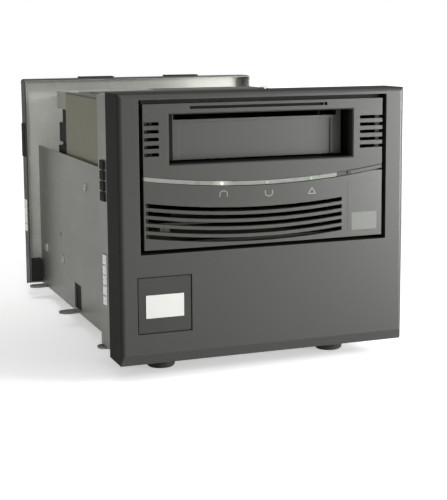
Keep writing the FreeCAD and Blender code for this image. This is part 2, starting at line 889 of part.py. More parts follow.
# eject button at the right end of the split line, with its stem and switch
button = new_body("eject_button")
button_x1 = face_half - s.move_clearance
button_low = lower_arc - s.move_clearance
button_high = upper_arc + s.move_clearance
flange_front = face_back + s.move_clearance
flange_back = flange_front + s.strip_flange
pad(button, "XZ", face_front - s.lens_rise, flange_front, [
    arc_band(s.button_start, button_x1, button_low, button_high)])
pad(button, "XZ", flange_front, flange_back, [
    arc_band(s.button_start, inner_half - s.move_clearance, button_low + s.flange_rise,
             button_high - s.flange_rise)])
stem_x = (s.button_start + button_x1) / 2
stem_z = arc_height(stem_x, s.arc_radius)
switch_front = board_y - s.switch_depth
plunger_front = switch_front - s.plunger_reach
stem_back = plunger_front - s.button_travel - s.switch_gap
pad(button, "XZ", flange_back, stem_back, [(stem_x, stem_z, s.button_stem)])
keep(button, "eject_button")
switch_half = s.switch_size / 2
keep(fuse([block(stem_x - switch_half, stem_x + switch_half, switch_front, board_y,
                 stem_z - switch_half, stem_z + switch_half),
           rod("Y", s.plunger_radius, s.plunger_reach, stem_x, plunger_front, stem_z)]), "eject_switch")
keep(block(board_x0, board_x1, board_y, board_y + s.board_thickness, board_z0, board_z1), "front_board")

# tape door, hung from two pins in the tunnel's cheeks
door = new_body("tape_door")
door_half = slot_half - s.door_side_gap
door_front = face_front + s.door_setback
door_back = door_front + s.door_thickness
door_low = hinge_z - door_drop
pad(door, "XZ", door_front, door_back, [rect(slot_x - door_half, slot_x + door_half, door_low, hinge_z)])
pad(door, "YZ", slot_x - door_half, slot_x + door_half, [(hinge_y, hinge_z, s.hinge_radius)])
pocket(door, "XZ", door_front - past, door_front + s.door_step, [rect(
    slot_x - door_half + s.door_border, slot_x + door_half - s.door_border,
    door_low - past, slot_top - s.door_top_gap - s.door_top_border)])
arm_x = door_half - s.door_arm
pocket(door, "XZ", door_front - past, door_back + past, [rect(
    slot_x - arm_x, slot_x + arm_x, slot_top - s.door_top_gap, hinge_z - s.hinge_radius)])
pocket(door, "YZ", slot_x - door_half - past, slot_x + door_half + past, [
    (hinge_y, hinge_z, s.pin_radius + s.run_clearance)])
keep(door, "tape_door")
keep(group([rod("X", s.pin_radius, s.pin_reach, x, hinge_y, hinge_z)
            for x in (slot_x - tunnel_half, slot_x + tunnel_half - s.pin_reach)]), "door_pins")

# cast base of the drive, an open tray with a tail round the take-up reel
base_front = face_back
receiver_front = front + receiver_depth
receiver_back = receiver_front + s.receiver_length
base_back = receiver_back + s.mechanism_room
tail_back = front + tail_depth
tail_left = s.reel_offset - s.reel_radius - s.tail_side_gap - s.drive_wall
base_top = face_top - s.drive_top_drop - s.cover_thickness


def plan(start, inset):
    side = drive_half - inset
    step = tail_left + inset
    return [(-side, start), (side, start), (side, tail_back - inset), (step, tail_back - inset),
            (step, base_back - inset), (-side, base_back - inset)]


def rear_corner(box):
    step = near(box.XMax, tail_left) and near(box.YMax, base_back)
    return near(box.YMax, tail_back) or (near(box.YMax, base_back) and not step)


# heights of the mechanism, from the receiver down to the deck
tray_top = slot_bottom - s.cartridge_clearance / 2
tray_low = tray_top - s.receiver_sheet
hub_tip = tray_low - s.hub_top_gap
hub_top = hub_tip - s.hub_tooth_height
hub_low = hub_top - s.hub_height
deck_top = hub_low - s.move_clearance - s.supply_motor_rise
deck_low = deck_top - s.deck_thickness
tape_z = tray_top + s.cartridge_height / 2 - s.receiver_drop

deck_front = receiver_front + s.deck_set_back
post_x = inner_half - s.deck_post_inset
deck_posts = [(side * post_x, y) for side in (-1, 1)
              for y in (deck_front + s.deck_post_inset, base_back - s.drive_wall - s.deck_post_inset)]
board_half = post_x - s.deck_post_half - s.main_board_side_gap
main_front = front + s.main_board_start
main_back = base_back - s.drive_wall - s.main_board_gap
main_low = base_floor + s.main_board_lift
standoffs = [(side * (board_half - s.standoff_half * 2), y) for side in (-1, 1)
             for y in (main_front + s.standoff_half * 2, main_back - s.standoff_half * 2)]
base = new_body("drive_base")
pad(base, "XY", base_low, base_top, [plan(base_front, as_size(0))])
soften(base, "Fillet", s.drive_wall, lambda box: near(box.ZMin, base_low) and near(box.ZMax, base_top)
       and rear_corner(box))
pocket(base, "XY", base_floor, base_top + past, [plan(base_front - past, s.drive_wall)])
post_low = base_floor - s.root_depth
pad(base, "XY", post_low, deck_low, [square(x, y, s.deck_post_half) for x, y in deck_posts])
pad(base, "XY", post_low, main_low, [square(x, y, s.standoff_half) for x, y in standoffs])
hole_ys = [front + s.drive_hole_start, front + s.drive_hole_start + s.drive_hole_pitch]
hole_z = base_low + s.drive_hole_rise
pocket(base, "YZ", -drive_half - past, drive_half + past, [
    (y, hole_z, s.drive_hole_radius) for y in hole_ys])
notch_low = arc_height(s.button_start, lower_arc) - s.flange_rise
notch_high = arc_height(face_half, upper_arc) + s.flange_rise
pocket(base, "YZ", inner_half - past, drive_half + past, [
    rect(base_front - past, base_front + s.button_travel + s.move_clearance * 2, notch_low, notch_high)])
keep(base, "drive_base")

# stamped lid of the drive
cover = new_body("drive_top_cover")
cover_top = base_top + s.cover_thickness
pad(cover, "XY", base_top, cover_top, [plan(base_front, as_size(0))])
soften(cover, "Fillet", s.drive_wall, lambda box: near(box.ZMin, base_top) and near(box.ZMax, cover_top)
       and rear_corner(box))
margin = s.cover_emboss_margin
emboss_half = drive_half - margin
pad(cover, "XY", cover_top, cover_top + s.cover_emboss, [
    rect(-emboss_half, emboss_half, base_front + margin * 2, base_back - margin)])
keep(cover, "drive_top_cover")
lid_x = drive_half - s.drive_wall / 2 - s.screw_head_radius
lid_ys = [base_front + s.lid_screw_inset, (base_front + base_back) / 2, base_back - s.lid_screw_inset]
keep(group([prism("Z", s.screw_sides, s.screw_head_radius, s.screw_head_height, side * lid_x, y, cover_top)
            for side in (-1, 1) for y in lid_ys]), "cover_screws")

# deck plate that carries the tape path
deck = new_body("deck_plate")
pad(deck, "XY", deck_low, deck_top, [plan(deck_front, s.drive_wall + s.deck_clearance)])
keep(deck, "deck_plate")

# cartridge receiver, a folded channel that drops along four posts
lip_low = tray_top + s.cartridge_height + s.cartridge_clearance * 2
lip_top = lip_low + s.receiver_sheet
lip_half = guide_half - s.receiver_lip
hub_x = slot_x
hub_y = receiver_front - s.cartridge_overhang + s.cartridge_length / 2
receiver = new_body("receiver")
pad(receiver, "XZ", receiver_front, receiver_back, [[
    (slot_x - shell_half, tray_low), (slot_x + shell_half, tray_low), (slot_x + shell_half, lip_top),
    (slot_x + lip_half, lip_top), (slot_x + lip_half, lip_low), (slot_x + guide_half, lip_low),
    (slot_x + guide_half, tray_top), (slot_x - guide_half, tray_top), (slot_x - guide_half, lip_low),
    (slot_x - lip_half, lip_low), (slot_x - lip_half, lip_top), (slot_x - shell_half, lip_top)]])
pocket(receiver, "XY", tray_low - past, tray_top + s.receiver_sheet, [
    square(hub_x, hub_y, s.hub_window_half)])
lug_x = shell_half + s.receiver_lug
lug_top = tray_low + s.receiver_lug
lug_ys = [receiver_front + s.receiver_lug_inset, receiver_back - s.receiver_lug_inset]
lug_spots = [(slot_x + side * lug_x, y) for side in (-1, 1) for y in lug_ys]
pad(receiver, "XY", tray_low, lug_top, [square(x, y, s.receiver_lug) for x, y in lug_spots])
pocket(receiver, "XY", tray_low - past, lug_top + past, [
    (x, y, s.receiver_post_radius + s.run_clearance) for x, y in lug_spots])
keep(receiver, "receiver")


def stepped_post(x, y, shoulder, rise, tip_radius, shoulder_radius):
    return fuse([prism("Z", s.screw_sides, shoulder_radius, shoulder, x, y, deck_top),
                 rod("Z", tip_radius, rise, x, y, deck_top)])


shoulder = tray_low - s.receiver_drop - s.move_clearance - deck_top
post_rise = lug_top + s.post_tip - deck_top
keep(group([stepped_post(x, y, shoulder, post_rise, s.receiver_post_radius, s.post_shoulder)
            for x, y in lug_spots]), "receiver_posts")

# supply motor and the toothed hub that lifts into the cartridge
hub_bore = s.shaft_radius + s.run_clearance
shaft_rise = hub_top - s.shaft_set_in - deck_top


def motor(can_radius, can_rise, shaft_radius, shaft_rise, x, y):
    return fuse([prism("Z", s.can_sides, can_radius, can_rise, x, y, deck_top),
                 rod("Z", shaft_radius, shaft_rise, x, y, deck_top)])


keep(motor(s.supply_motor_radius, s.supply_motor_rise, s.shaft_radius, shaft_rise, hub_x, hub_y),
     "supply_motor")
hub = turned("supply_hub", hub_x, hub_y, hub_low, [
    (hub_bore, 0), (s.hub_radius, 0), (s.hub_radius, s.hub_height), (hub_bore, s.hub_height)])
tooth = pad(hub, "XY", s.hub_height - s.root_depth, s.hub_height + s.hub_tooth_height, [rect(
    s.hub_tooth_radius - s.hub_tooth_length / 2, s.hub_tooth_radius + s.hub_tooth_length / 2,
    -s.hub_tooth_width / 2, s.hub_tooth_width / 2)])
spin_repeat(hub, tooth, "Z_Axis", s.hub_teeth)
keep(hub, "supply_hub")

# take-up reel and its motor in the tail
reel_x = s.reel_offset
reel_y = front + reel_depth
reel_low = tape_z - s.tape_width / 2 - s.reel_flange
reel_rise = s.reel_flange * 2 + s.tape_width
can_rise = reel_low - s.move_clearance - deck_top
reel_shaft = can_rise + s.move_clearance + reel_rise - s.shaft_set_in
keep(motor(s.takeup_motor_radius, can_rise, s.shaft_radius, reel_shaft, reel_x, reel_y), "takeup_motor")
reel = turned("takeup_reel", reel_x, reel_y, reel_low, [
    (hub_bore, 0), (s.reel_radius, 0), (s.reel_radius, s.reel_flange), (s.reel_hub_radius, s.reel_flange),
    (s.reel_hub_radius, reel_rise - s.reel_flange), (s.reel_radius, reel_rise - s.reel_flange),
    (s.reel_radius, reel_rise), (hub_bore, reel_rise)])
window = pocket(reel, "XY", -past, reel_rise + past, [rect(
    s.reel_hub_radius + s.reel_window_gap, s.reel_radius - s.reel_rim,
    -s.reel_window_width / 2, s.reel_window_width / 2)])
spin_repeat(reel, window, "Z_Axis", s.reel_windows)
keep(reel, "takeup_reel")

# four flanged guide rollers on stepped posts
roller_rise = s.tape_width + s.roller_flange * 2
roller_low = tape_z - roller_rise / 2
roller_bore = s.roller_post_radius + s.run_clearance
roller_spots = [(-inner_half + side, receiver_back + behind) for side, behind in (
    (s.first_roller_side, s.first_roller_back), (s.second_roller_side, s.second_roller_back),
    (s.third_roller_side, s.third_roller_back), (s.fourth_roller_side, s.fourth_roller_back))]
roller_posts = []
for number, (x, y) in enumerate(roller_spots, start=1):
    flanges = [prism("Z", s.can_sides, s.roller_flange_radius, s.roller_flange, x, y, z)
               for z in (roller_low, roller_low + roller_rise - s.roller_flange)]
    barrel = rod("Z", s.roller_radius, roller_rise, x, y, roller_low)
    bore = rod("Z", roller_bore, roller_rise + past * 2, x, y, roller_low - past)
    keep(cut(fuse([barrel] + flanges), [bore]), "guide_roller_%d" % number)
    step = roller_low - s.move_clearance - deck_top
    post_top = step + roller_rise + s.move_clearance + s.roller_post_tip
    roller_posts.append(stepped_post(x, y, step, post_top, s.roller_post_radius, s.roller_base_radius))
keep(group(roller_posts), "roller_posts")

# tape head on two rods, lifted by a lead screw
head_x = -inner_half + s.head_side
head_y = receiver_back + s.head_back
head_low = tape_z - s.head_height / 2
head_top = tape_z + s.head_height / 2
head = new_body("head_block")
head_front = head_y - s.head_depth / 2
nose_y = head_front + s.head_nose_radius - s.head_nose_set_in
pad(head, "XY", head_low, head_top, [
    rect(head_x - s.head_width / 2, head_x + s.head_width / 2, head_front, head_y + s.head_depth / 2)])
pad(head, "XY", head_low + s.head_nose_inset, head_top - s.head_nose_inset, [
    (head_x, nose_y, s.head_nose_radius)])
rod_xs = [head_x - s.head_rod_spread / 2, head_x + s.head_rod_spread / 2]
rod_bore = s.head_rod_radius + s.run_clearance
pocket(head, "XY", head_low - past, head_top + past, [
    (rod_xs[0], head_y, rod_bore), (rod_xs[1], head_y, rod_bore),
    (head_x, head_y, s.lead_screw_radius + s.lead_screw_clearance)])
keep(head, "head_block")
rod_rise = head_top + s.head_travel + s.head_rod_tip - deck_top
keep(group([rod("Z", s.head_rod_radius, rod_rise, x, head_y, deck_top) for x in rod_xs]), "head_rods")
keep(motor(s.head_motor_radius, s.head_motor_height, s.lead_screw_radius, rod_rise, head_x, head_y),
     "head_motor")

# main board with its packages
chip_low = main_low + s.board_thickness
keep(block(-board_half, board_half, main_front, main_back, main_low, chip_low), "main_board")
chip_rows = [(main_front + (main_back - main_front) / 4, s.large_chip),
             (main_back - (main_back - main_front) / 4, s.small_chip)]
keep(group([block(board_half / 2 * column - half, board_half / 2 * column + half, y - half, y + half,
                  chip_low, chip_low + s.chip_height)
            for column in (-1, 0, 1) for y, half in chip_rows]), "board_chips")

# connectors on the back of the drive, under a sheet hood
plug_x0 = -drive_half + s.plug_inset
signal_low = deck_top + s.signal_plug_lift
power_low = deck_top + s.power_plug_lift


def plug(width, height, depth, low):
    shell = block(plug_x0, plug_x0 + width, base_back, base_back + depth, low, low + height)
    cavity = block(plug_x0 + s.plug_wall, plug_x0 + width - s.plug_wall, base_back + depth - s.plug_cavity,
                   base_back + depth + past, low + s.plug_wall, low + height - s.plug_wall)
    return cut(shell, [cavity])


keep(plug(s.signal_plug_width, s.signal_plug_height, s.signal_plug_depth, signal_low), "signal_connector")
keep(plug(s.power_plug_width, s.power_plug_height, s.power_plug_depth, power_low), "power_connector")
hood_x1 = tail_left - s.move_clearance
hood_low = cover_top - s.hood_height
hood = new_body("connector_hood")
pad(hood, "XZ", base_back, base_back + s.hood_depth, [[
    (plug_x0, hood_low), (plug_x0 + s.sheet, hood_low), (plug_x0 + s.sheet, cover_top - s.sheet),
    (hood_x1, cover_top - s.sheet), (hood_x1, cover_top), (plug_x0, cover_top)]])
keep(hood, "connector_hood")

# folded tray, a floor and two side walls, with ears in the plane of the floor
wall_in = drive_half + s.drive_side_gap
wall_out = wall_in + s.sheet
floor_top = bottom + s.sheet
wall_top = bottom + s.wall_height
web_back = bezel_back + s.sheet
rear_outer = front + chassis_length
rear_inner = rear_outer - s.sheet
tray = new_body("chassis_tray")
pad(tray, "XZ", web_back, rear_inner, [[
    (-wall_out, bottom), (wall_out, bottom), (wall_out, wall_top), (wall_in, wall_top),
    (wall_in, floor_top), (-wall_in, floor_top), (-wall_in, wall_top), (-wall_out, wall_top)]])
ear_ys = [front + s.ear_front, front + s.ear_middle, rear_outer - s.ear_rear_inset]
ear_round = s.ear_width / 2
ear_x = wall_out + s.ear_reach - ear_round
ear_spots = [(side * ear_x, y) for side in (-1, 1) for y in ear_ys]
for x, y in ear_spots:
    x0, x1 = (x, -wall_in) if x.value < 0 else (wall_in, x)
    pad(tray, "XY", bottom, floor_top, [rect(x0, x1, y - ear_round, y + ear_round)])
    pad(tray, "XY", bottom, floor_top, [polygon(x, y, ear_round, EAR_SIDES)])
pocket(tray, "XY", bottom - past, floor_top + past, [(x, y, s.ear_hole_radius) for x, y in ear_spots])
ledge_out = wall_in + s.sheet / 2
ledge_in = wall_in - s.ledge_reach
pad(tray, "XY", base_low - s.sheet, base_low, [
    rect(x0, x1, y, y + s.ledge_length) for y in hole_ys
    for x0, x1 in ((-ledge_out, -ledge_in), (ledge_in, ledge_out))])
window_y = front + s.window_start
window_z = floor_top + s.window_rise
pocket(tray, "YZ", -wall_out - past, wall_out + past, [
    rect(window_y, window_y + s.window_length, window_z, window_z + s.window_height),
    (rear_outer - s.wall_hole_inset, bottom + s.wall_hole_rise, s.wall_hole_radius)])
keep(tray, "chassis_tray")

# front frame, a web behind the bezel with flanges turned back
frame_half = half_width - s.frame_inset
frame_top = top - s.frame_inset
ring = new_body("front_frame")
pad(ring, "XZ", bezel_back, web_back, [
    rect(-frame_half, frame_half, bottom, frame_top),
    rect(-wall_in, wall_in, bottom + s.frame_sill, face_top)])
flange_foot = bottom + s.sheet * 2


def flange_loop(half, high):
    # outline of a folded edge down both sides and along the top
    inner = half - s.sheet
    under = high - s.sheet
    return [(-half, flange_foot), (-inner, flange_foot), (-inner, under), (inner, under),
            (inner, flange_foot), (half, flange_foot), (half, high), (-half, high)]


pad(ring, "XZ", web_back - s.sheet / 2, web_back + s.frame_flange, [flange_loop(frame_half, frame_top)])
keep(ring, "front_frame")
keep(group([prism("Y", s.screw_sides, s.screw_head_radius, s.screw_head_height, x, web_back, z)
            for x, z in boss_spots + low_bosses]), "bezel_screws")

# places of the rear fittings
fan_x = -wall_in + s.fan_inset
fan_z = top - s.fan_drop
pin_half = s.fan_hole_pitch / 2
fan_pins = [(fan_x + i * pin_half, fan_z + j * pin_half) for i in (-1, 1) for j in (-1, 1)]
inlet_x = wall_in - s.inlet_inset
inlet_z = bottom + s.inlet_lift
inlet_half = s.inlet_width / 2
inlet_rise = s.inlet_height / 2
rocker_x = inlet_x - s.rocker_pitch
rocker_z = inlet_z
cell_half = s.rocker_width / 2
cell_rise = s.rocker_height / 2
shell_x = cell_half + s.rocker_frame
shell_z = cell_rise + s.rocker_frame
port_x = wall_in - s.port_inset
port_zs = [bottom + s.port_lift, bottom + s.port_lift + s.port_pitch]
port_half = s.port_width / 2 + s.port_body_margin
port_rise = s.port_height / 2 + s.port_body_margin
fit = s.panel_clearance


def cutout(x, z, half_x, half_z):
    return rect(x - half_x - fit, x + half_x + fit, z - half_z - fit, z + half_z + fit)


def panel_rect(x, z, half_x, half_z):
    return rect(x - half_x, x + half_x, z - half_z, z + half_z)


# rear panel with flanges and its cut-outs
rear = new_body("rear_panel")
pad(rear, "XZ", rear_inner, rear_outer, [rect(-half_width, half_width, bottom, top)])
flange_start = rear_inner - s.rear_flange
pad(rear, "XZ", flange_start, rear_inner + s.sheet / 2, [flange_loop(half_width, top)])
soften(rear, "Fillet", s.rear_round, lambda box: near(box.ZMin, top) and near(box.ZMax, top)
       and (near(box.XMax, -half_width) or near(box.XMin, half_width)) and box.YLength > 1)
pocket(rear, "XZ", rear_inner - past, rear_outer + past, [
    (fan_x, fan_z, s.fan_duct_radius - s.fan_hole_inset),
    cutout(inlet_x, inlet_z, inlet_half, inlet_rise), cutout(rocker_x, rocker_z, shell_x, shell_z),
    cutout(port_x, port_zs[0], port_half, port_rise), cutout(port_x, port_zs[1], port_half, port_rise)])
keep(rear, "rear_panel")

# black gasket pads on the outside of the flanges
pad_y0 = flange_start + s.sheet
pad_y1 = pad_y0 + s.pad_width
front_pad_y = web_back + s.front_pad_depth
front_pad_end = front_pad_y + s.pad_width
top_pad_half = s.top_pad_length / 2
side_pad_low = bottom + s.side_pad_rise


def layer(side, face_x, thickness):
    # the span in X of a layer that lies on the outside of a side face
    outer = face_x + thickness
    return (-outer, -face_x) if side < 0 else (face_x, outer)


pads = []
for side in (-1, 1):
    x = side * s.top_pad_spread / 2
    pads.append(block(x - top_pad_half, x + top_pad_half, pad_y0, pad_y1, top, top + s.pad_thickness))
    x0, x1 = layer(side, half_width, s.pad_thickness)
    pads.append(block(x0, x1, pad_y0, pad_y1, side_pad_low, side_pad_low + s.side_pad_length))
    x0, x1 = layer(side, frame_half, s.pad_thickness)
    for step in range(int(s.pad_segments.value)):
        z0 = bottom + s.front_pad_rise + s.finger_pitch * step
        pads.append(block(x0, x1, front_pad_y, front_pad_end, z0, z0 + s.front_pad_segment))
keep(group(pads), "gasket_pads")


# bright contact strips, bowed fingers on a thin band
def contact_strip(side, face_x, start, low, count):
    strip_body = new_body("contact_strip")
    end = start + s.finger_width
    run = s.finger_pitch * (count - 1) + s.finger_length
    x0, x1 = layer(side, face_x, s.finger_sheet)
    pad(strip_body, "XY", low, low + run, [rect(x0, x1, start, end)])
    bow = (s.finger_width * s.finger_width / 4 + s.finger_bow * s.finger_bow) / (s.finger_bow * 2)
    chord = side * (face_x + s.finger_sheet / 2)
    loop = [(chord, start, bow, 1), (chord, end)] if side > 0 else [(chord, end, bow, 1), (chord, start)]
    finger = pad(strip_body, "XY", low, low + s.finger_length, [loop])
    repeat(strip_body, finger, "N_Axis", s.finger_pitch, count)
    return strip_body


strips = []
front_strip_low = bottom + s.front_finger_rise
rear_strip_low = bottom + s.rear_finger_rise
for side in (-1, 1):
    strips.append(contact_strip(side, frame_half, front_pad_y, front_strip_low, s.front_fingers))
    strips.append(contact_strip(side, half_width, pad_y0, rear_strip_low, s.rear_fingers))
keep(group(strips), "contact_fingers")

# black guide blocks in the lower rear corners
blocks = []
block_z = floor_top + s.corner_block_rise
for side in (-1, 1):
    x0 = -half_width + s.sheet if side < 0 else half_width - s.sheet - s.corner_block_width
    blocks.append(block(x0, x0 + s.corner_block_width, rear_inner - s.corner_block_depth, rear_inner,
                        block_z, block_z + s.corner_block_height))
keep(group(blocks), "corner_blocks")

# cooling fan behind the rear panel
fan_front = rear_inner - s.fan_depth
fan_half = s.fan_size / 2
fan_frame = new_body("fan_frame")
pad(fan_frame, "XZ", fan_front, rear_inner, [
    panel_rect(fan_x, fan_z, fan_half, fan_half), (fan_x, fan_z, s.fan_duct_radius)])
spider_front = rear_inner - s.fan_back_plate
reach = s.fan_duct_radius + s.root_depth
strut = s.fan_strut / 2
pad(fan_frame, "XZ", spider_front, rear_inner, [panel_rect(fan_x, fan_z, reach, strut)])
pad(fan_frame, "XZ", spider_front, rear_inner, [panel_rect(fan_x, fan_z, strut, reach)])
pad(fan_frame, "XZ", spider_front, rear_inner, [(fan_x, fan_z, s.fan_hub_radius)])
pad(fan_frame, "XZ", fan_front + s.axle_inset, spider_front, [(fan_x, fan_z, s.fan_axle_radius)])
keep(fan_frame, "fan_frame")
rotor = new_body("fan_rotor")
rotor_length = s.fan_depth - s.fan_back_plate - s.rotor_inset - s.move_clearance
pad(rotor, "XZ", 0, rotor_length, [(0, 0, s.fan_hub_radius), (0, 0, s.fan_axle_radius + s.run_clearance)])
blade_end = s.blade_inset + s.fan_blade_chord
blade = pad(rotor, "YZ", s.fan_hub_radius - s.blade_root, s.fan_blade_radius, [[
    (s.blade_inset, -s.blade_lead), (blade_end, s.blade_trail),
    (blade_end, s.blade_trail + s.fan_blade_sheet), (s.blade_inset, -s.blade_lead + s.fan_blade_sheet)]])
spin_repeat(rotor, blade, "Y_Axis", s.fan_blades)
put(rotor, fan_x, fan_front + s.rotor_inset, fan_z)
keep(rotor, "fan_rotor")

# finger guard of flat strips over the fan opening
guard = new_body("fan_guard")
guard_back = rear_outer + s.guard_thickness
lean = 0.5 ** 0.5
spoke_half = s.fan_hole_pitch * lean - s.screw_head_radius - s.move_clearance
spoke_far = (spoke_half + s.guard_strip / 2) * lean
spoke_near = (spoke_half - s.guard_strip / 2) * lean
for side in (-1, 1):
    pad(guard, "XZ", rear_outer, guard_back, [[
        (fan_x + side * spoke_far, fan_z + spoke_near), (fan_x + side * spoke_near, fan_z + spoke_far),
        (fan_x - side * spoke_far, fan_z - spoke_near), (fan_x - side * spoke_near, fan_z - spoke_far)]])
for number in range(int(s.guard_rings.value)):
    radius = s.guard_first_ring + s.guard_ring_step * number
    pad(guard, "XZ", rear_outer, guard_back, [
        polygon(fan_x, fan_z, radius + s.guard_strip / 2, RING_SIDES),
        polygon(fan_x, fan_z, radius - s.guard_strip / 2, RING_SIDES)])
keep(guard, "fan_guard")
keep(group([prism("Y", s.screw_sides, s.screw_head_radius, s.screw_head_height, x, rear_outer, z)
            for x, z in fan_pins]), "fan_screws")


# mains inlet with its three blades
def notched(x, z, half_x, half_z, notch):
    return [(x - half_x, z - half_z), (x + half_x, z - half_z), (x + half_x, z + half_z - notch),
            (x + half_x - notch, z + half_z), (x - half_x + notch, z + half_z),
            (x - half_x, z + half_z - notch)]


inlet = new_body("power_inlet")
inlet_back = rear_outer + s.inlet_flange
pad(inlet, "XZ", rear_outer - s.inlet_depth, rear_outer + s.inlet_flange / 2, [
    panel_rect(inlet_x, inlet_z, inlet_half, inlet_rise)])
pad(inlet, "XZ", rear_outer, inlet_back, [panel_rect(
    inlet_x, inlet_z, inlet_half + s.inlet_flange_margin, inlet_rise + s.inlet_flange_margin)])
pocket(inlet, "XZ", inlet_back - s.inlet_socket_depth, inlet_back + past, [notched(
    inlet_x, inlet_z, inlet_half - s.inlet_wall, inlet_rise - s.inlet_wall, s.inlet_wall * 3)])
keep(inlet, "power_inlet")
blade_root = inlet_back - s.inlet_socket_depth
pin_spots = [(inlet_x - s.inlet_pin_spread, inlet_z), (inlet_x, inlet_z + s.inlet_pin_width),
             (inlet_x + s.inlet_pin_spread, inlet_z)]
pin_x = s.inlet_pin_sheet / 2
pin_z = s.inlet_pin_width / 2
keep(group([block(x - pin_x, x + pin_x, blade_root, blade_root + s.inlet_pin_length, z - pin_z, z + pin_z)
            for x, z in pin_spots]), "inlet_pins")

# power switch, a rocker on a stub axle in its housing
switch_lip = rear_outer + s.rocker_frame
axle_y = rear_outer - s.rocker_axle_set_in
cell = new_body("rocker_housing")
pad(cell, "XZ", rear_outer - s.rocker_depth, rear_outer + s.rocker_frame / 2, [
    panel_rect(rocker_x, rocker_z, shell_x, shell_z)])
pad(cell, "XZ", rear_outer, switch_lip, [
    panel_rect(rocker_x, rocker_z, shell_x + s.rocker_frame / 2, shell_z + s.rocker_frame / 2)])
pocket(cell, "XZ", rear_outer - s.rocker_depth + s.rocker_frame, switch_lip + past, [
    panel_rect(rocker_x, rocker_z, cell_half, cell_rise)])
pocket(cell, "YZ", rocker_x - shell_x + s.rocker_frame / 2, rocker_x + shell_x - s.rocker_frame / 2, [
    (axle_y, rocker_z, s.rocker_axle_radius + s.run_clearance)])
keep(cell, "rocker_housing")
rocker = new_body("power_rocker")
key_half = cell_half - s.move_clearance * 1.5
key_rise = cell_rise - s.move_clearance * 2
pad(rocker, "YZ", -key_half, key_half, [[
    (-s.rocker_body, -key_rise), (s.rocker_tip, -key_rise), (s.rocker_valley, 0), (s.rocker_tip, key_rise),
    (-s.rocker_body, key_rise)]])
axle_half = cell_half + s.rocker_frame / 2 - s.move_clearance
pad(rocker, "YZ", -axle_half, axle_half, [(0, 0, s.rocker_axle_radius)])
rocker.Placement = FreeCAD.Placement(FreeCAD.Vector(), FreeCAD.Rotation(FreeCAD.Vector(1, 0, 0), 1))
bind(rocker, "Placement.Rotation.Angle", s.rocker_tilt)
put(rocker, rocker_x, axle_y, rocker_z)
keep(rocker, "power_rocker")

# two signal ports with jack screws
ports = []
jacks = []
shell_end = rear_outer + s.rear_reach
half = s.port_width / 2
rise = s.port_height / 2
thin = s.port_shell
flange_end = rear_outer + s.port_flange
for z in port_zs:
    port = new_body("port")
    pad(port, "XZ", rear_outer - s.port_body_depth, rear_outer + s.port_flange / 2, [
        panel_rect(port_x, z, port_half, port_rise)])
    pad(port, "XZ", rear_outer, flange_end, [
        panel_rect(port_x, z, s.port_flange_width / 2, s.port_flange_height / 2)])
    outer = [(port_x - half + s.port_slant, z - rise), (port_x + half - s.port_slant, z - rise),
             (port_x + half, z + rise), (port_x - half, z + rise)]
    inner = [(port_x - half + s.port_slant + thin, z - rise + thin),
             (port_x + half - s.port_slant - thin, z - rise + thin),
             (port_x + half - thin, z + rise - thin), (port_x - half + thin, z + rise - thin)]
    pad(port, "XZ", rear_outer + s.port_flange / 2, shell_end, [outer, inner])
    ports.append(port)
    for side in (-1, 1):
        x = port_x + side * s.jack_spread / 2
        jacks.append(prism("Y", s.screw_sides, s.jack_radius, s.jack_reach, x, flange_end, z))
keep(group(ports), "signal_ports")
keep(group(jacks), "jack_screws")

# power supply case against the left wall
supply = new_body("power_supply")
supply_y1 = rear_outer - s.supply_rear_gap
supply_y0 = supply_y1 - s.supply_length
supply_x0 = -wall_in
supply_x1 = supply_x0 + s.supply_width
supply_top = floor_top + s.supply_height
pad(supply, "XZ", supply_y0, supply_y1, [rect(supply_x0, supply_x1, floor_top, supply_top)])
first_vent = supply_x0 + s.supply_vent_inset
supply_vent_low = floor_top + s.supply_vent_rise
for x in (first_vent, first_vent + s.supply_vent_width + s.supply_vent_gap):
    slots = pocket(supply, "XZ", supply_y0 - past, supply_y0 + s.supply_vent_depth, [
        rect(x, x + s.supply_vent_width, supply_vent_low, supply_vent_low + s.supply_vent_height)])
    repeat(supply, slots, "V_Axis", s.supply_vent_pitch, s.supply_vents)
keep(supply, "power_supply")

# rubber feet and the screws in the tray walls
foot_ys = [front + s.foot_front, rear_outer - s.foot_rear_inset]
keep(group([prism("Z", s.foot_sides, s.foot_radius, s.foot_height, x, y, 0)
            for x in (-s.foot_spread / 2, s.foot_spread / 2) for y in foot_ys]), "rubber_feet")
supply_z = bottom + s.supply_screw_rise
supply_ys = [supply_y1 - s.supply_screw_inset - s.supply_screw_pitch, supply_y1 - s.supply_screw_inset]
left_head = -wall_out - s.screw_head_height
heads = [prism("X", s.screw_sides, s.screw_head_radius, s.screw_head_height, x, y, hole_z)
         for y in hole_ys for x in (left_head, wall_out)]
heads += [prism("X", s.screw_sides, s.big_screw_radius, s.screw_head_height, left_head, y, supply_z)
          for y in supply_ys]
keep(group(heads), "chassis_screws")


doc.recompute()
os.makedirs("parts", exist_ok=True)
for item in doc.Objects:
    if "Invalid" in item.State or "Error" in item.State:
        raise RuntimeError(item.Label + " did not recompute")
for item in nodes:
    if item.Shape.isNull() or not item.Shape.isValid():
        raise RuntimeError(item.Label + " has no valid shape")
    item.Shape.exportStep("parts/" + item.Label + ".step")
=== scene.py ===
import math
import bmesh
import bpy
from mathutils import Matrix, Vector
from mathutils.bvhtree import BVHTree


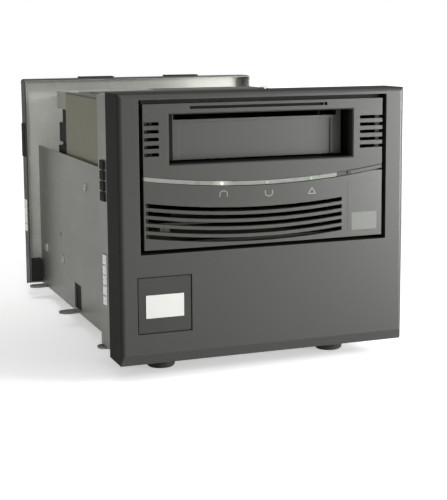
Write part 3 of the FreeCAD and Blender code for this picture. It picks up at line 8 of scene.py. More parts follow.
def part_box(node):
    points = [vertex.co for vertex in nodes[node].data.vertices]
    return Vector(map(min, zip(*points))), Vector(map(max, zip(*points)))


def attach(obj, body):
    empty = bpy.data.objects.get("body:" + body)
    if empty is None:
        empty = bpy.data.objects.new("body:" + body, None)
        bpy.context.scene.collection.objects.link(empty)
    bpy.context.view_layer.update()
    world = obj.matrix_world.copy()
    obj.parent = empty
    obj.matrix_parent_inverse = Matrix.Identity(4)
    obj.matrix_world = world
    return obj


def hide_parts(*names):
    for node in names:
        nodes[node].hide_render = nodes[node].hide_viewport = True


# Desktop cartridge tape drive with its cover off: finishes, small fittings, light and camera.
# Metres, in the frame of the solids: front faces -Y, feet stand on Z = 0.

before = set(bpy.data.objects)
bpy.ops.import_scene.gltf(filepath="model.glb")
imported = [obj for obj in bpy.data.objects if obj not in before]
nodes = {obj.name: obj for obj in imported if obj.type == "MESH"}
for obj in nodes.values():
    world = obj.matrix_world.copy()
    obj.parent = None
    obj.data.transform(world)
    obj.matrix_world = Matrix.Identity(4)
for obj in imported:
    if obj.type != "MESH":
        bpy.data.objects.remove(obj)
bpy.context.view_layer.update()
MM = 0.001
X, Y, Z = 0, 1, 2
LOW, HIGH = 0, 1
BLACK = (0, 0, 0, 1)
WHITE = (1, 1, 1, 1)


def ink(red, green, blue):
    """a screen colour as the linear colour that a shader takes"""
    def straight(part):
        part = part / 255.0
        return part / 12.92 if part <= 0.04045 else ((part + 0.055) / 1.055) ** 2.4
    return (straight(red), straight(green), straight(blue), 1.0)


def shaded(colour, level):
    """a colour made darker or lighter"""
    return (colour[0] * level, colour[1] * level, colour[2] * level, 1.0)


class Wire:
    """a value on its way between nodes, which sums and products can use"""

    def __init__(self, web, socket):
        self.web = web
        self.socket = socket

    def __add__(self, other):
        return self.web.sum("ADD", self, other)

    def __sub__(self, other):
        return self.web.sum("SUBTRACT", self, other)

    def __rsub__(self, other):
        return self.web.sum("SUBTRACT", other, self)

    def __mul__(self, other):
        return self.web.sum("MULTIPLY", self, other)

    def __truediv__(self, other):
        return self.web.sum("DIVIDE", self, other)

    def __gt__(self, other):
        return self.web.sum("GREATER_THAN", self, other)

    def __lt__(self, other):
        return self.web.sum("LESS_THAN", self, other)

    def __abs__(self):
        return self.web.sum("ABSOLUTE", self, 0.0)

    __radd__ = __add__
    __rmul__ = __mul__

    def out(self, name):
        return Wire(self.web, self.socket.node.outputs[name])


class Web:
    """a node tree that is built by calls"""

    def __init__(self, tree):
        self.tree = tree

    def add(self, kind, settings=None, sockets=None, out=0):
        node = self.tree.nodes.new(kind)
        for name, value in (settings or {}).items():
            setattr(node, name, value)
        for name, value in (sockets or {}).items():
            for single in value if isinstance(value, list) else [value]:
                if isinstance(single, Wire):
                    self.tree.links.new(single.socket, node.inputs[name])
                else:
                    node.inputs[name].default_value = single
        return Wire(self, node.outputs[out]) if len(node.outputs) else node

    def sum(self, operation, first, second):
        return self.add("ShaderNodeMath", {"operation": operation}, {0: first, 1: second})

    def vector(self, operation, first, second, out=0):
        return self.add("ShaderNodeVectorMath", {"operation": operation}, {0: first, 1: second}, out)

    def held(self, value):
        """a value kept between 0 and 1"""
        return self.add("ShaderNodeClamp", None, {0: value})

    def mix(self, share, first, second):
        return self.add("ShaderNodeMix", {"data_type": "RGBA"}, {0: share, 6: first, 7: second}, 2)


class Finish(Web):
    """one material, read on object coordinates"""

    def __init__(self, name):
        self.material = bpy.data.materials.new(name)
        self.material.use_nodes = True
        super().__init__(self.material.node_tree)
        self.tree.nodes.clear()
        self.spot = self.add("ShaderNodeTexCoord").out("Object")

    def stretched(self, x, y, z):
        return self.add("ShaderNodeMapping", None, {"Vector": self.spot, "Scale": (x, y, z)})

    def noise(self, per_metre, detail=2.0, rough=0.5, spot=None):
        return self.add("ShaderNodeTexNoise", None, {
            "Vector": spot or self.spot, "Scale": per_metre, "Detail": detail, "Roughness": rough})

    def cells(self, per_metre, out="Distance"):
        return self.add("ShaderNodeTexVoronoi", None, {"Vector": self.spot, "Scale": per_metre}).out(out)

    def axes(self):
        split = self.add("ShaderNodeSeparateXYZ", None, {0: self.spot})
        return split.out("X"), split.out("Y"), split.out("Z")

    def flat(self):
        return self.add("ShaderNodeNewGeometry").out("Normal")

    def rounded(self, radius):
        return self.add("ShaderNodeBevel", {"samples": 4}, {"Radius": radius})

    def edge(self, rounded, gain):
        """how far the rounded direction turns away from the flat one, which marks edges"""
        turn = self.vector("DOT_PRODUCT", rounded, self.flat(), "Value")
        return self.held((1.0 - turn) * gain)

    def surface(self, colour, roughness, height=None, depth=0.02 * MM, normal=None, **sockets):
        if height is not None:
            sides = {"Height": height, "Distance": depth, "Strength": 1.0}
            if normal is not None:
                sides["Normal"] = normal
            normal = self.add("ShaderNodeBump", None, sides)
        sockets.update({"Base Color": colour, "Roughness": roughness})
        named = {name.replace("_", " "): value for name, value in sockets.items()}
        if normal is not None:
            named["Normal"] = normal
        shader = self.add("ShaderNodeBsdfPrincipled", None, named)
        self.add("ShaderNodeOutputMaterial", None, {"Surface": shader})
        return self.material


# ---- finishes ----

def moulded(name, colour, rough=0.5, grain=0.03 * MM, sheen_level=0.5, shade=None):
    """spark-textured moulding: satin faces, dull sides painted darker as painted shade, rubbed edges, painted
    shade in black where shade says so
    """
    finish = Finish(name)
    cloud = finish.noise(per_metre=14, detail=3)
    grit = finish.noise(per_metre=1500, detail=3, rough=0.65)
    rubbed = finish.rounded(0.6 * MM)
    edge = finish.edge(rubbed, gain=2.0) * (0.4 + finish.noise(per_metre=260))
    lean = finish.add("ShaderNodeSeparateXYZ", None, {0: finish.flat()}).out("Y")
    satin = finish.held(lean * lean)
    tone = finish.mix(cloud, shaded(colour, 0.92), shaded(colour, 1.07))
    tone = finish.mix(finish.held(grit * 1.4 - 0.4), tone, shaded(colour, 0.8))
    # painted shade: faces turned away from the front are painted darker
    tone = finish.mix((1.0 - satin) * 0.6, tone, shaded(colour, 0.4))
    tone = finish.mix(finish.held(edge), tone, shaded(colour, 1.5))
    sheen = satin * sheen_level
    if shade is not None:
        # painted shade: black, with no coat, where the shade function says so
        painted_shade_share = shade(finish)
        tone = finish.mix(painted_shade_share, tone, shaded(colour, 0.18))
        sheen = sheen * (1.0 - painted_shade_share)
    gloss = rough + (grit - 0.5) * 0.2 + (cloud - 0.5) * 0.08 - edge * 0.12
    return finish.surface(tone, gloss, height=grit, depth=grain, normal=rubbed, Specular_IOR_Level=0.06,
                          Coat_Weight=sheen, Coat_Roughness=0.36)


def sheet_metal(name, colour, rough=0.38, metal=0.8, spangle=0.2, rim=None):
    """plated sheet: spangle, rolling marks, handling smears, bright sheared edges, painted shade outside the
    rim
    """
    finish = Finish(name)
    flakes = finish.add("ShaderNodeSeparateColor", None, {0: finish.cells(per_metre=170, out="Color")})
    rolled = finish.noise(per_metre=60, detail=3, rough=0.6, spot=finish.stretched(6, 0.25, 6))
    smear = finish.noise(per_metre=24, detail=4, rough=0.6)
    rubbed = finish.rounded(0.4 * MM)
    edge = finish.edge(rubbed, gain=2.2)
    tone = finish.mix(flakes * spangle, colour, shaded(colour, 1.5))
    tone = finish.mix(finish.held(smear * 1.6 - 0.55) * 0.35, tone, shaded(colour, 0.75))
    tone = finish.mix(edge * 0.6, tone, shaded(colour, 1.6))
    # painted shade: faces outside the rim, such as the outer faces of flanges, are painted near black
    if rim is not None:
        half_width, top = rim
        across, _, up = finish.axes()
        rim_shade = finish.held((abs(across) > half_width) + (up > top))
        tone = finish.mix(rim_shade, tone, shaded(colour, 0.1))
    gloss = rough + (rolled - 0.5) * 0.14 + (flakes - 0.5) * 0.06 + (smear - 0.5) * 0.1
    return finish.surface(tone, gloss, height=rolled, depth=0.01 * MM, normal=rubbed, Metallic=metal)


def turned(name, colour, rough=0.28):
    """machined or plated round pieces: fine rings along the height, brighter edges"""
    finish = Finish(name)
    ring = finish.noise(per_metre=2600, rough=0.6, spot=finish.stretched(0.02, 0.02, 1.0))
    smear = finish.noise(per_metre=120, detail=3)
    rubbed = finish.rounded(0.3 * MM)
    edge = finish.edge(rubbed, gain=2.0)
    tone = finish.mix(smear, shaded(colour, 0.84), shaded(colour, 1.08))
    tone = finish.mix(edge * 0.5, tone, shaded(colour, 1.35))
    gloss = rough + (ring - 0.5) * 0.25
    return finish.surface(tone, gloss, height=ring, depth=0.006 * MM, normal=rubbed, Metallic=0.95)


def cast_paint(name, colour, shade_line):
    """thin chromate over blasted casting: pebbly, with worn edges and the front painted near black as painted
    shade
    """
    finish = Finish(name)
    pebble = finish.noise(per_metre=900, detail=3, rough=0.6)
    cloud = finish.noise(per_metre=30, detail=4, rough=0.6)
    rubbed = finish.rounded(0.6 * MM)
    edge = finish.edge(rubbed, gain=2.0) * (0.3 + finish.noise(per_metre=300))
    tone = finish.mix(cloud, shaded(colour, 0.86), shaded(colour, 1.1))
    tone = finish.mix(finish.held(edge), tone, ink(176, 177, 168))
    # painted shade: the casting's front, seen through the vents, is painted near black
    tone = finish.mix(finish.axes()[Y] < shade_line, tone, ink(26, 26, 25))
    gloss = 0.5 + (pebble - 0.5) * 0.3
    return finish.surface(tone, gloss, height=pebble, depth=0.03 * MM, normal=rubbed, Metallic=0.55)


def board(name, colour):
    """solder mask with copper runs under it and tinned pads"""
    finish = Finish(name)
    runs = finish.add("ShaderNodeTexBrick", {"offset": 0.5}, {
        "Vector": finish.spot, "Scale": 90.0, "Mortar Size": 0.06,
        "Color1": BLACK, "Color2": (0.25, 0.25, 0.25, 1), "Mortar": WHITE})
    copper = finish.add("ShaderNodeSeparateColor", None, {0: runs})
    pads = finish.held(0.16 - finish.cells(per_metre=420)) * 9.0
    fibre = finish.noise(per_metre=900)
    tone = finish.mix(copper, colour, shaded(colour, 1.7))
    tone = finish.mix(finish.held(pads), tone, ink(190, 188, 176))
    gloss = 0.34 + (fibre - 0.5) * 0.2
    return finish.surface(tone, gloss, height=copper + pads + fibre * 0.3, depth=0.03 * MM, Coat_Weight=0.3)


def foam(name, colour):
    """conductive foam pad: open pores and a fine cloth skin"""
    finish = Finish(name)
    pores = finish.cells(per_metre=1100)
    weave = finish.noise(per_metre=2400)
    cloud = finish.noise(per_metre=90, detail=3)
    tone = finish.mix(finish.held(pores * 1.5), shaded(colour, 0.6), shaded(colour, 1.25))
    tone = finish.mix(cloud * 0.4, tone, shaded(colour, 1.5))
    gloss = 0.82 + (weave - 0.5) * 0.2
    return finish.surface(tone, gloss, height=pores + weave * 0.5, depth=0.12 * MM, Specular_IOR_Level=0.2)


def rubber(name, colour):
    """moulded rubber: bloom, dust near the ground, soft grain"""
    finish = Finish(name)
    grit = finish.noise(per_metre=1300, detail=3)
    bloom = finish.noise(per_metre=70, detail=4, rough=0.6)
    dust = finish.held(1.0 - finish.axes()[Z] / (6.0 * MM)) * bloom
    tone = finish.mix(bloom * 0.5, colour, shaded(colour, 1.5))
    tone = finish.mix(dust * 0.5, tone, ink(120, 118, 112))
    gloss = 0.72 + (grit - 0.5) * 0.2
    return finish.surface(tone, gloss, height=grit, depth=0.04 * MM, normal=finish.rounded(0.6 * MM))


LIT_LENS_X, GLOW_REACH = -27.5 * MM, 6.0 * MM
LIT_SIDE_X = -14.0 * MM


def pale_strip(name, colour):
    """milky light guide: clouded body with a faint glow towards the lit lamp"""
    finish = Finish(name)
    cloud = finish.noise(per_metre=220, detail=3)
    streak = finish.noise(per_metre=90, spot=finish.stretched(0.15, 1, 1))
    glow = finish.held(1.0 - abs(finish.axes()[X] - LIT_LENS_X) / GLOW_REACH)
    tone = finish.mix(cloud, shaded(colour, 0.85), shaded(colour, 1.1))
    tone = finish.mix(finish.held(streak * 1.8 - 0.7) * 0.3, tone, shaded(colour, 0.6))
    light = finish.mix(glow, BLACK, ink(225, 232, 214))
    gloss = 0.3 + (cloud - 0.5) * 0.2
    return finish.surface(tone, gloss, height=cloud, depth=0.01 * MM, Emission_Color=light,
                          Emission_Strength=0.35, Subsurface_Weight=0.1)


def lamp_lens(name):
    """three small lenses, the left one lit"""
    finish = Finish(name)
    lit = finish.axes()[X] < LIT_SIDE_X
    ripple = finish.noise(per_metre=1800)
    tone = finish.mix(ripple, ink(150, 156, 146), ink(186, 190, 180))
    tone = finish.mix(lit, tone, ink(228, 240, 214))
    glow = finish.mix(lit, BLACK, ink(240, 250, 226))
    gloss = 0.16 + ripple * 0.08
    return finish.surface(tone, gloss, height=ripple, depth=0.01 * MM, Emission_Color=glow,
                          Emission_Strength=0.9, Coat_Weight=0.4)


def badge_finish(name, left, right, foot, top):
    """satin plate with a bare pale tile set in it"""
    finish = Finish(name)
    across, _, up = finish.axes()
    inside = (across > left) * (across < right) * (up > foot) * (up < top)
    grit = finish.noise(per_metre=1500, detail=3, rough=0.65)
    cloud = finish.noise(per_metre=40, detail=3)
    dark = finish.mix(cloud, ink(52, 53, 50), ink(62, 63, 60))
    pale = finish.mix(cloud, ink(196, 197, 193), ink(208, 208, 204))
    gloss = 0.5 + (grit - 0.5) * 0.2 - inside * 0.16
    return finish.surface(finish.mix(inside, dark, pale), gloss, height=grit * (1.0 - inside * 0.8),
                          normal=finish.rounded(0.4 * MM), Specular_IOR_Level=0.2)


def printed(name, colour):
    """silk-screen ink: slightly raised, uneven cover"""
    finish = Finish(name)
    cover_share = finish.noise(per_metre=1600, detail=3, rough=0.7)
    cloud = finish.noise(per_metre=150)
    tone = finish.mix(finish.held(cover_share * 1.8 - 0.5), shaded(colour, 0.7), colour)
    tone = finish.mix(cloud * 0.3, tone, shaded(colour, 1.12))
    gloss = 0.5 + (cover_share - 0.5) * 0.2
    return finish.surface(tone, gloss, height=cover_share, depth=0.01 * MM)


def lapped_head(name):
    """recording head: lapped dark face with pale gap lines"""
    finish = Finish(name)
    lines = finish.add("ShaderNodeTexWave", {"bands_direction": "Z"}, {"Vector": finish.spot, "Scale": 160.0})
    polish = finish.noise(per_metre=700, detail=3, rough=0.6, spot=finish.stretched(1, 1, 0.1))
    tone = finish.mix(finish.held(lines.out("Fac") * 8.0 - 7.0), ink(74, 74, 78), ink(160, 158, 150))
    tone = finish.mix(polish * 0.4, tone, ink(48, 48, 52))
    return finish.surface(tone, 0.22 + polish * 0.15, height=polish, depth=0.005 * MM,
                          normal=finish.rounded(0.4 * MM), Metallic=0.7)


# painted shade behind the drive's face and along the door's left edge
FACE_SKIN, SHADE_FADE = 0.9 * MM, 0.6 * MM
WALL_WIDTH, WALL_LIT = 3.0 * MM, 6.0 * MM
DOOR_LINE = 2.6 * MM
front_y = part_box("bezel_frame")[LOW][Y]
door_low, door_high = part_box("tape_door")


def slot_shade(finish):
    """painted shade in black behind the drive's face, apart from the outer part of the slot's right wall"""
    across, along, _ = finish.axes()
    deep = finish.held((along - (front_y + FACE_SKIN)) / SHADE_FADE)
    wall = (across > door_high[X]) * (across < door_high[X] + WALL_WIDTH) * (along < front_y + WALL_LIT)
    return deep * (1.0 - wall)


def door_shade(finish):
    """painted shade: a black line along the door's left edge"""
    return finish.axes()[X] < door_low[X] + DOOR_LINE


SATIN = {"rough": 0.6, "sheen_level": 0.75}
# depth of the casting's front that is painted near black as painted shade
CAST_SHADE_DEPTH = 6.0 * MM
bezel = moulded("charcoal_bezel", ink(56, 57, 54), **SATIN)
face = moulded("charcoal_face", ink(61, 62, 58), shade=slot_shade, **SATIN)
grille = moulded("charcoal_grille", ink(61, 62, 58), **SATIN)
door = moulded("charcoal_door", ink(68, 69, 65), shade=door_shade, **SATIN)
zinc = sheet_metal("zinc_sheet", ink(142, 142, 136), rough=0.42, metal=0.45)
casting = cast_paint("olive_casting", ink(132, 131, 112), shade_line=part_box("drive_base")[LOW][Y] + CAST_SHADE_DEPTH)
hood = sheet_metal("drive_cover_sheet", ink(158, 159, 150), rough=0.5, metal=0.5, spangle=0.12)
steel = turned("plated_steel", ink(190, 190, 186), rough=0.34)
bright = turned("bright_spring_strip", ink(232, 231, 228), rough=0.26)
black = moulded("black_moulding", ink(38, 38, 37), rough=0.46, grain=0.02 * MM)
dark_can = sheet_metal("motor_can", ink(96, 97, 99), rough=0.32, metal=0.85, spangle=0.1)
green = board("green_board", ink(20, 44, 31))
white = moulded("white_moulding", ink(208, 208, 201), rough=0.42, grain=0.01 * MM)
alloy = turned("turned_alloy", ink(168, 168, 170), rough=0.3)
foam_pad = foam("foam_gasket", ink(40, 41, 38))
supply = moulded("black_powder_coat", ink(46, 46, 46), rough=0.55, grain=0.06 * MM)
nickel = sheet_metal("nickel_shell", ink(172, 171, 166), rough=0.24, metal=0.95, spangle=0.05)
tread = rubber("black_rubber", ink(36, 36, 35))

TILE_WIDTH, TILE_HEIGHT, TILE_RISE = 22.3 * MM, 13.1 * MM, 8.3 * MM
plate_low, plate_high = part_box("badge_plate")
tile_middle = (plate_low[X] + plate_high[X]) / 2
tile_foot = plate_low[Z] + TILE_RISE
badge = badge_finish("badge_plate_and_tile", tile_middle - TILE_WIDTH / 2, tile_middle + TILE_WIDTH / 2,
                     tile_foot, tile_foot + TILE_HEIGHT)
strip = pale_strip("milky_light_strip", ink(128, 130, 123))
lenses = lamp_lens("lamp_lenses")
dark_board = board("dark_board", ink(86, 90, 84))
top_cover = sheet_metal("dark_cover_sheet", ink(84, 84, 76), rough=0.55, metal=0.5, spangle=0.12)
# the rear panel's flanges are painted near black outside this rim as painted shade
RIM = 1.0 * MM
rear_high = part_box("rear_panel")[HIGH]
pale_zinc = sheet_metal("pale_zinc_sheet", ink(178, 178, 171), rough=0.5, metal=0.15,
                        rim=(rear_high[X] - RIM, rear_high[Z] - RIM))
head_face = lapped_head("lapped_head")

WORN = {
    bezel: ["bezel_frame", "lower_panel"],
    face: ["drive_bezel"],
    grille: ["grille_panel", "eject_button"],
    door: ["tape_door"],
    badge: ["badge_plate"],
    strip: ["light_strip"],
    lenses: ["status_lenses"],
    green: ["main_board"],
    dark_board: ["front_board"],
    black: ["eject_switch", "board_chips", "signal_connector", "power_connector", "corner_blocks",
            "power_inlet", "rocker_housing", "power_rocker", "fan_frame", "fan_rotor"],
    casting: ["drive_base"],
    hood: ["connector_hood"],
    top_cover: ["drive_top_cover"],
    zinc: ["deck_plate", "receiver", "chassis_tray", "front_frame"],
    pale_zinc: ["rear_panel"],
    steel: ["door_pins", "receiver_posts", "roller_posts", "head_rods", "bezel_screws", "cover_screws",
            "fan_guard", "fan_screws", "jack_screws", "chassis_screws", "inlet_pins"],
    dark_can: ["supply_motor", "takeup_motor", "head_motor"],
    white: ["supply_hub", "takeup_reel"],
    alloy: ["guide_roller_1", "guide_roller_2", "guide_roller_3", "guide_roller_4"],
    head_face: ["head_block"],
    foam_pad: ["gasket_pads"],
    bright: ["contact_fingers"],
    supply: ["power_supply"],
    nickel: ["signal_ports"],
    tread: ["rubber_feet"],
}
for material, names in WORN.items():
    for name in names:
        for slot in nodes[name].material_slots:
            slot.link = "OBJECT"
            slot.material = material


# ---- pieces ----

def settle(name, mesh, body, replaced=()):
    """puts a finished mesh in the scene on its body"""
    piece = bpy.data.objects.new(name, mesh)
    bpy.context.scene.collection.objects.link(piece)
    for node in replaced:
        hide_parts(node)
    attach(piece, body)


WELD = 1e-6


def merged(name):
    """a closed copy of a solid's mesh"""
    shape = bmesh.new()
    shape.from_mesh(nodes[name].data)
    bmesh.ops.remove_doubles(shape, verts=shape.verts, dist=WELD)
    return shape


def skin(name):
    """a solid's faces, to be met by rays"""
    shape = merged(name)
    tree = BVHTree.FromBMesh(shape)
    shape.free()
    return tree


def lumps(name):
    """lowest and highest corner of each separate solid in a node"""
    shape = merged(name)
    left = set(shape.verts)
    boxes = []
    while left:
        reach = [left.pop()]
        held = []
        while reach:
            vertex = reach.pop()
            held.append(vertex.co.copy())
            for edge in vertex.link_edges:
                other = edge.other_vert(vertex)
                if other in left:
                    left.remove(other)
                    reach.append(other)
        boxes.append([Vector([pick(point[axis] for point in held) for axis in (X, Y, Z)])
                      for pick in (min, max)])
    shape.free()
    return sorted(boxes, key=lambda box: tuple(round(value, 5) for value in box[LOW]))


class Growth(Web):
    """a Geometry Nodes tree with named sizes, baked to a plain mesh"""

    def __init__(self, name, material):
        self.name = name
        self.material = material
        super().__init__(bpy.data.node_groups.new(name, "GeometryNodeTree"))
        self.tree.interface.new_socket("Geometry", in_out="INPUT", socket_type="NodeSocketGeometry")
        self.tree.interface.new_socket("Geometry", in_out="OUTPUT", socket_type="NodeSocketGeometry")
        self.start = self.tree.nodes.new("NodeGroupInput")
        self.values = {}

    def size(self, name, value):
        socket = self.tree.interface.new_socket(name, in_out="INPUT", socket_type="NodeSocketFloat")
        self.values[socket.identifier] = value
        return Wire(self, self.start.outputs[name])

    def given(self):
        return Wire(self, self.start.outputs["Geometry"])

    def xyz(self, x=0.0, y=0.0, z=0.0):
        return self.add("ShaderNodeCombineXYZ", None, {"X": x, "Y": y, "Z": z})

    def box(self, x, y, z):
        return self.add("GeometryNodeMeshCube", None, {"Size": self.xyz(x, y, z)})

    def cylinder(self, sides, radius, depth):
        return self.add("GeometryNodeMeshCylinder", None, {
            "Vertices": sides, "Radius": radius, "Depth": depth}).out("Mesh")

    def cone(self, sides, bottom, top, depth):
        return self.add("GeometryNodeMeshCone", None, {
            "Vertices": sides, "Radius Bottom": bottom, "Radius Top": top, "Depth": depth}).out("Mesh")

    def circle(self, sides, radius):
        return self.add("GeometryNodeCurvePrimitiveCircle", None, {"Resolution": sides, "Radius": radius})

    def moved(self, shape, place, turn=(0, 0, 0)):
        return self.add("GeometryNodeTransform", None, {
            "Geometry": shape, "Translation": place, "Rotation": turn})

    def joined(self, shapes):
        return self.add("GeometryNodeJoinGeometry", None, {0: shapes})

    def cut(self, shape, tools):
        return self.add("GeometryNodeMeshBoolean", {"operation": "DIFFERENCE", "solver": "EXACT"}, {
            "Mesh 1": shape, "Mesh 2": tools}).out("Mesh")

    def grown(self, shape, source=None):
        solid = self.add("GeometryNodeRealizeInstances", None, {0: shape})
        solid = self.add("GeometryNodeSetMaterial", None, {"Geometry": solid, "Material": self.material})
        end = self.tree.nodes.new("NodeGroupOutput")
        self.tree.links.new(solid.socket, end.inputs[0])
        carrier = bpy.data.objects.new(self.name, source or bpy.data.meshes.new(self.name))
        bpy.context.scene.collection.objects.link(carrier)
        modifier = carrier.modifiers.new("growth", "NODES")
        modifier.node_group = self.tree
        for identifier, value in self.values.items():
            modifier[identifier] = value
        bpy.context.view_layer.update()
        graph = bpy.context.evaluated_depsgraph_get()
        mesh = bpy.data.meshes.new_from_object(carrier.evaluated_get(graph))
        carrier.modifiers.remove(modifier)
        bpy.data.objects.remove(carrier)
        mesh.name = self.name
        if not mesh.materials:
            mesh.materials.append(self.material)
        return mesh


def spots(name, places):
    """loose points, each with the way it faces and its size"""
    mesh = bpy.data.meshes.new(name)
    mesh.from_pydata([place for place, facing, size in places], [], [])
    for label, column in (("facing", 1), ("size", 2)):
        held = mesh.attributes.new(label, "FLOAT_VECTOR", "POINT")
        held.data.foreach_set("vector", [value for spot in places for value in spot[column]])
    return mesh


def planted(grow, shape, places):
    """sets a shape of unit size on points, each with its own facing and size"""
    vector = {"data_type": "FLOAT_VECTOR"}
    way = grow.add("GeometryNodeInputNamedAttribute", vector, {"Name": "facing"})
    size = grow.add("GeometryNodeInputNamedAttribute", vector, {"Name": "size"})
    turn = grow.add("FunctionNodeAlignRotationToVector", {"axis": "Z"}, {"Vector": way})
    placed = grow.add("GeometryNodeInstanceOnPoints", None, {
        "Points": grow.given(), "Instance": shape, "Rotation": turn, "Scale": size})
    return grow.grown(placed, spots(grow.name + "_spots", places))


HEAD_SIDES, SOCKET_SIDES, BORE_SIDES = 28, 6, 20


def screw_heads(name, places):
    """pan heads with a cross recess, one on each point; sizes are shares of the head"""
    grow = Growth(name, steel)
    shoulder = grow.size("Shoulder height", 0.5)
    crown = grow.size("Crown radius", 0.66)
    blade = grow.size("Recess width", 0.3)
    reach = grow.size("Recess reach", 1.15)
    skirt = grow.moved(grow.cylinder(HEAD_SIDES, 1.0, shoulder), grow.xyz(z=shoulder * 0.5))
    dome = grow.moved(grow.cone(HEAD_SIDES, 1.0, crown, 1.0 - shoulder), grow.xyz(z=shoulder))
    slots = [grow.moved(grow.box(*arms, 1.0), (0.0, 0.0, 1.0)) for arms in ((reach, blade), (blade, reach))]
    return planted(grow, grow.cut(grow.joined([skirt, dome]), slots), places)


def hexagon_sockets(name, places):
    """hexagon standoffs with an open bore; sizes are shares of the standoff"""
    grow = Growth(name, steel)
    bore = grow.size("Bore", 0.52)
    body = grow.moved(grow.cylinder(SOCKET_SIDES, 1.0, 1.0), (0.0, 0.0, 0.5))
    drill = grow.moved(grow.cylinder(BORE_SIDES, bore, 1.0), (0.0, 0.0, 0.75))
    return planted(grow, grow.cut(body, drill), places)


def seats(name, axis, sign=None):
    """each screw of a node: the foot of its head, the way it faces, and its radius and height"""
    places = []
    for low, high in lumps(name):
        middle = (low + high) / 2
        way = sign if sign else (1 if middle[axis] > 0 else -1)
        foot = middle.copy()
        foot[axis] = low[axis] if way > 0 else high[axis]
        facing = [0.0, 0.0, 0.0]
        facing[axis] = float(way)
        radius = max(high[other] - low[other] for other in (X, Y, Z) if other != axis) / 2
        places.append((foot, facing, (radius, radius, high[axis] - low[axis])))
    return places


SCREWS = (("cover_screws", Z, 1), ("fan_screws", Y, 1), ("bezel_screws", Y, 1), ("chassis_screws", X, None))
for name, axis, sign in SCREWS:
    heads = screw_heads(name + "_heads", seats(name, axis, sign))
    settle(name + "_heads", heads, "chassis", [name])
sockets = hexagon_sockets("jack_sockets", seats("jack_screws", Y, 1))
settle("jack_sockets", sockets, "chassis", ["jack_screws"])

# finger guard of the fan: wire radius and weld level are shares of the flat guard's thickness
WIRE_SHARE, LEVEL_SHARE = 0.36, 0.14
RING_COUNT, RING_SIDES, WIRE_SIDES = 3, 56, 10


def wire_guard(name):
    """finger guard of round wire: rings welded on two crossed spokes"""
    low, high = lumps("fan_guard")[0]
    middle = (low + high) / 2
    half = (high.x - low.x) / 2
    thick = high.y - low.y
    level = thick * LEVEL_SHARE
    grow = Growth(name, steel)
    wire = grow.size("Wire radius", thick * WIRE_SHARE)
    first = grow.size("First ring", 10.0 * MM)
    step = grow.size("Ring step", 7.0 * MM)
    section = grow.circle(WIRE_SIDES, wire)
    shapes = []
    for number in range(RING_COUNT):
        ring = grow.circle(RING_SIDES, first + step * float(number))
        hoop = grow.add("GeometryNodeCurveToMesh", None, {"Curve": ring, "Profile Curve": section})
        shapes.append(grow.moved(hoop, (0.0, level, 0.0), (math.pi / 2, 0.0, 0.0)))
    for side in (-1, 1):
        spoke = grow.add("GeometryNodeCurvePrimitiveLine", None, {
            "Start": (-side * half, -level, -half), "End": (side * half, -level, half)})
        shapes.append(grow.add("GeometryNodeCurveToMesh", None, {
            "Curve": spoke, "Profile Curve": section, "Fill Caps": True}))
    return grow.grown(grow.moved(grow.joined(shapes), tuple(middle)))


settle("wire_fan_guard", wire_guard("wire_fan_guard"), "chassis", ["fan_guard"])

PIN_SIDES, PIN_TIP = 8, 0.4


def contact_rows(name, place, columns, rows, pitch, row_pitch, radius, length):
    """rows of contacts that stand out of a connector's floor, their tips at the place given"""
    grow = Growth(name, gilt)
    across = grow.size("Pitch", pitch)
    up = grow.size("Row pitch", row_pitch)
    field = grow.add("GeometryNodeMeshGrid", None, {
        "Size X": across * float(columns - 1), "Size Y": up * float(rows - 1),
        "Vertices X": columns, "Vertices Y": rows})
    shaft = grow.moved(grow.cylinder(PIN_SIDES, radius, length), (0.0, 0.0, -length / 2))
    stem = grow.joined([shaft, grow.cone(PIN_SIDES, radius, radius * PIN_TIP, radius)])
    placed = grow.add("GeometryNodeInstanceOnPoints", None, {"Points": field.out("Mesh"), "Instance": stem})
    solid = grow.add("GeometryNodeRealizeInstances", None, {0: placed})
    return grow.grown(grow.moved(solid, place, (-math.pi / 2, 0.0, 0.0)))


gilt = turned("gilt_contact", ink(196, 168, 104), rough=0.22)
PLUG_FLOOR, PLUG_PIN = 9.0 * MM, 6.0 * MM
PLUGS = {
    "signal_connector": {
        "columns": 34, "rows": 2, "pitch": 1.5 * MM, "row_pitch": 3.4 * MM, "radius": 0.35 * MM},
    "power_connector": {
        "columns": 4, "rows": 1, "pitch": 5.08 * MM, "row_pitch": 0.0, "radius": 1.05 * MM},
}
for name, layout in PLUGS.items():
    low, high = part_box(name)
    place = ((low[X] + high[X]) / 2, high[Y] - PLUG_FLOOR + PLUG_PIN, (low[Z] + high[Z]) / 2)
    pins = contact_rows(name + "_pins", place, length=PLUG_PIN, **layout)
    settle(name + "_pins", pins, "chassis")


BLOCK_SIDES = ((0, 1, 3, 2), (4, 6, 7, 5), (0, 4, 5, 1), (2, 3, 7, 6), (0, 2, 6, 4), (1, 5, 7, 3))
BREAK_PROFILE = {"segments": 2, "affect": "EDGES", "profile": 0.6}


def bar(shape, low, high, bevel):
    """a block with broken edges"""
    corners = [shape.verts.new((x, y, z)) for x in (low[X], high[X]) for y in (low[Y], high[Y])
               for z in (low[Z], high[Z])]
    faces = [shape.faces.new([corners[index] for index in side]) for side in BLOCK_SIDES]
    edges = list({edge for face in faces for edge in face.edges})
    bmesh.ops.bevel(shape, geom=edges, offset=bevel, **BREAK_PROFILE)


def finished(shape, name, material):
    """a mesh with outward faces from a drawn shape"""
    bmesh.ops.recalc_face_normals(shape, faces=shape.faces)
    mesh = bpy.data.meshes.new(name)
    shape.to_mesh(mesh)
    shape.free()
    mesh.materials.append(material)
    return mesh


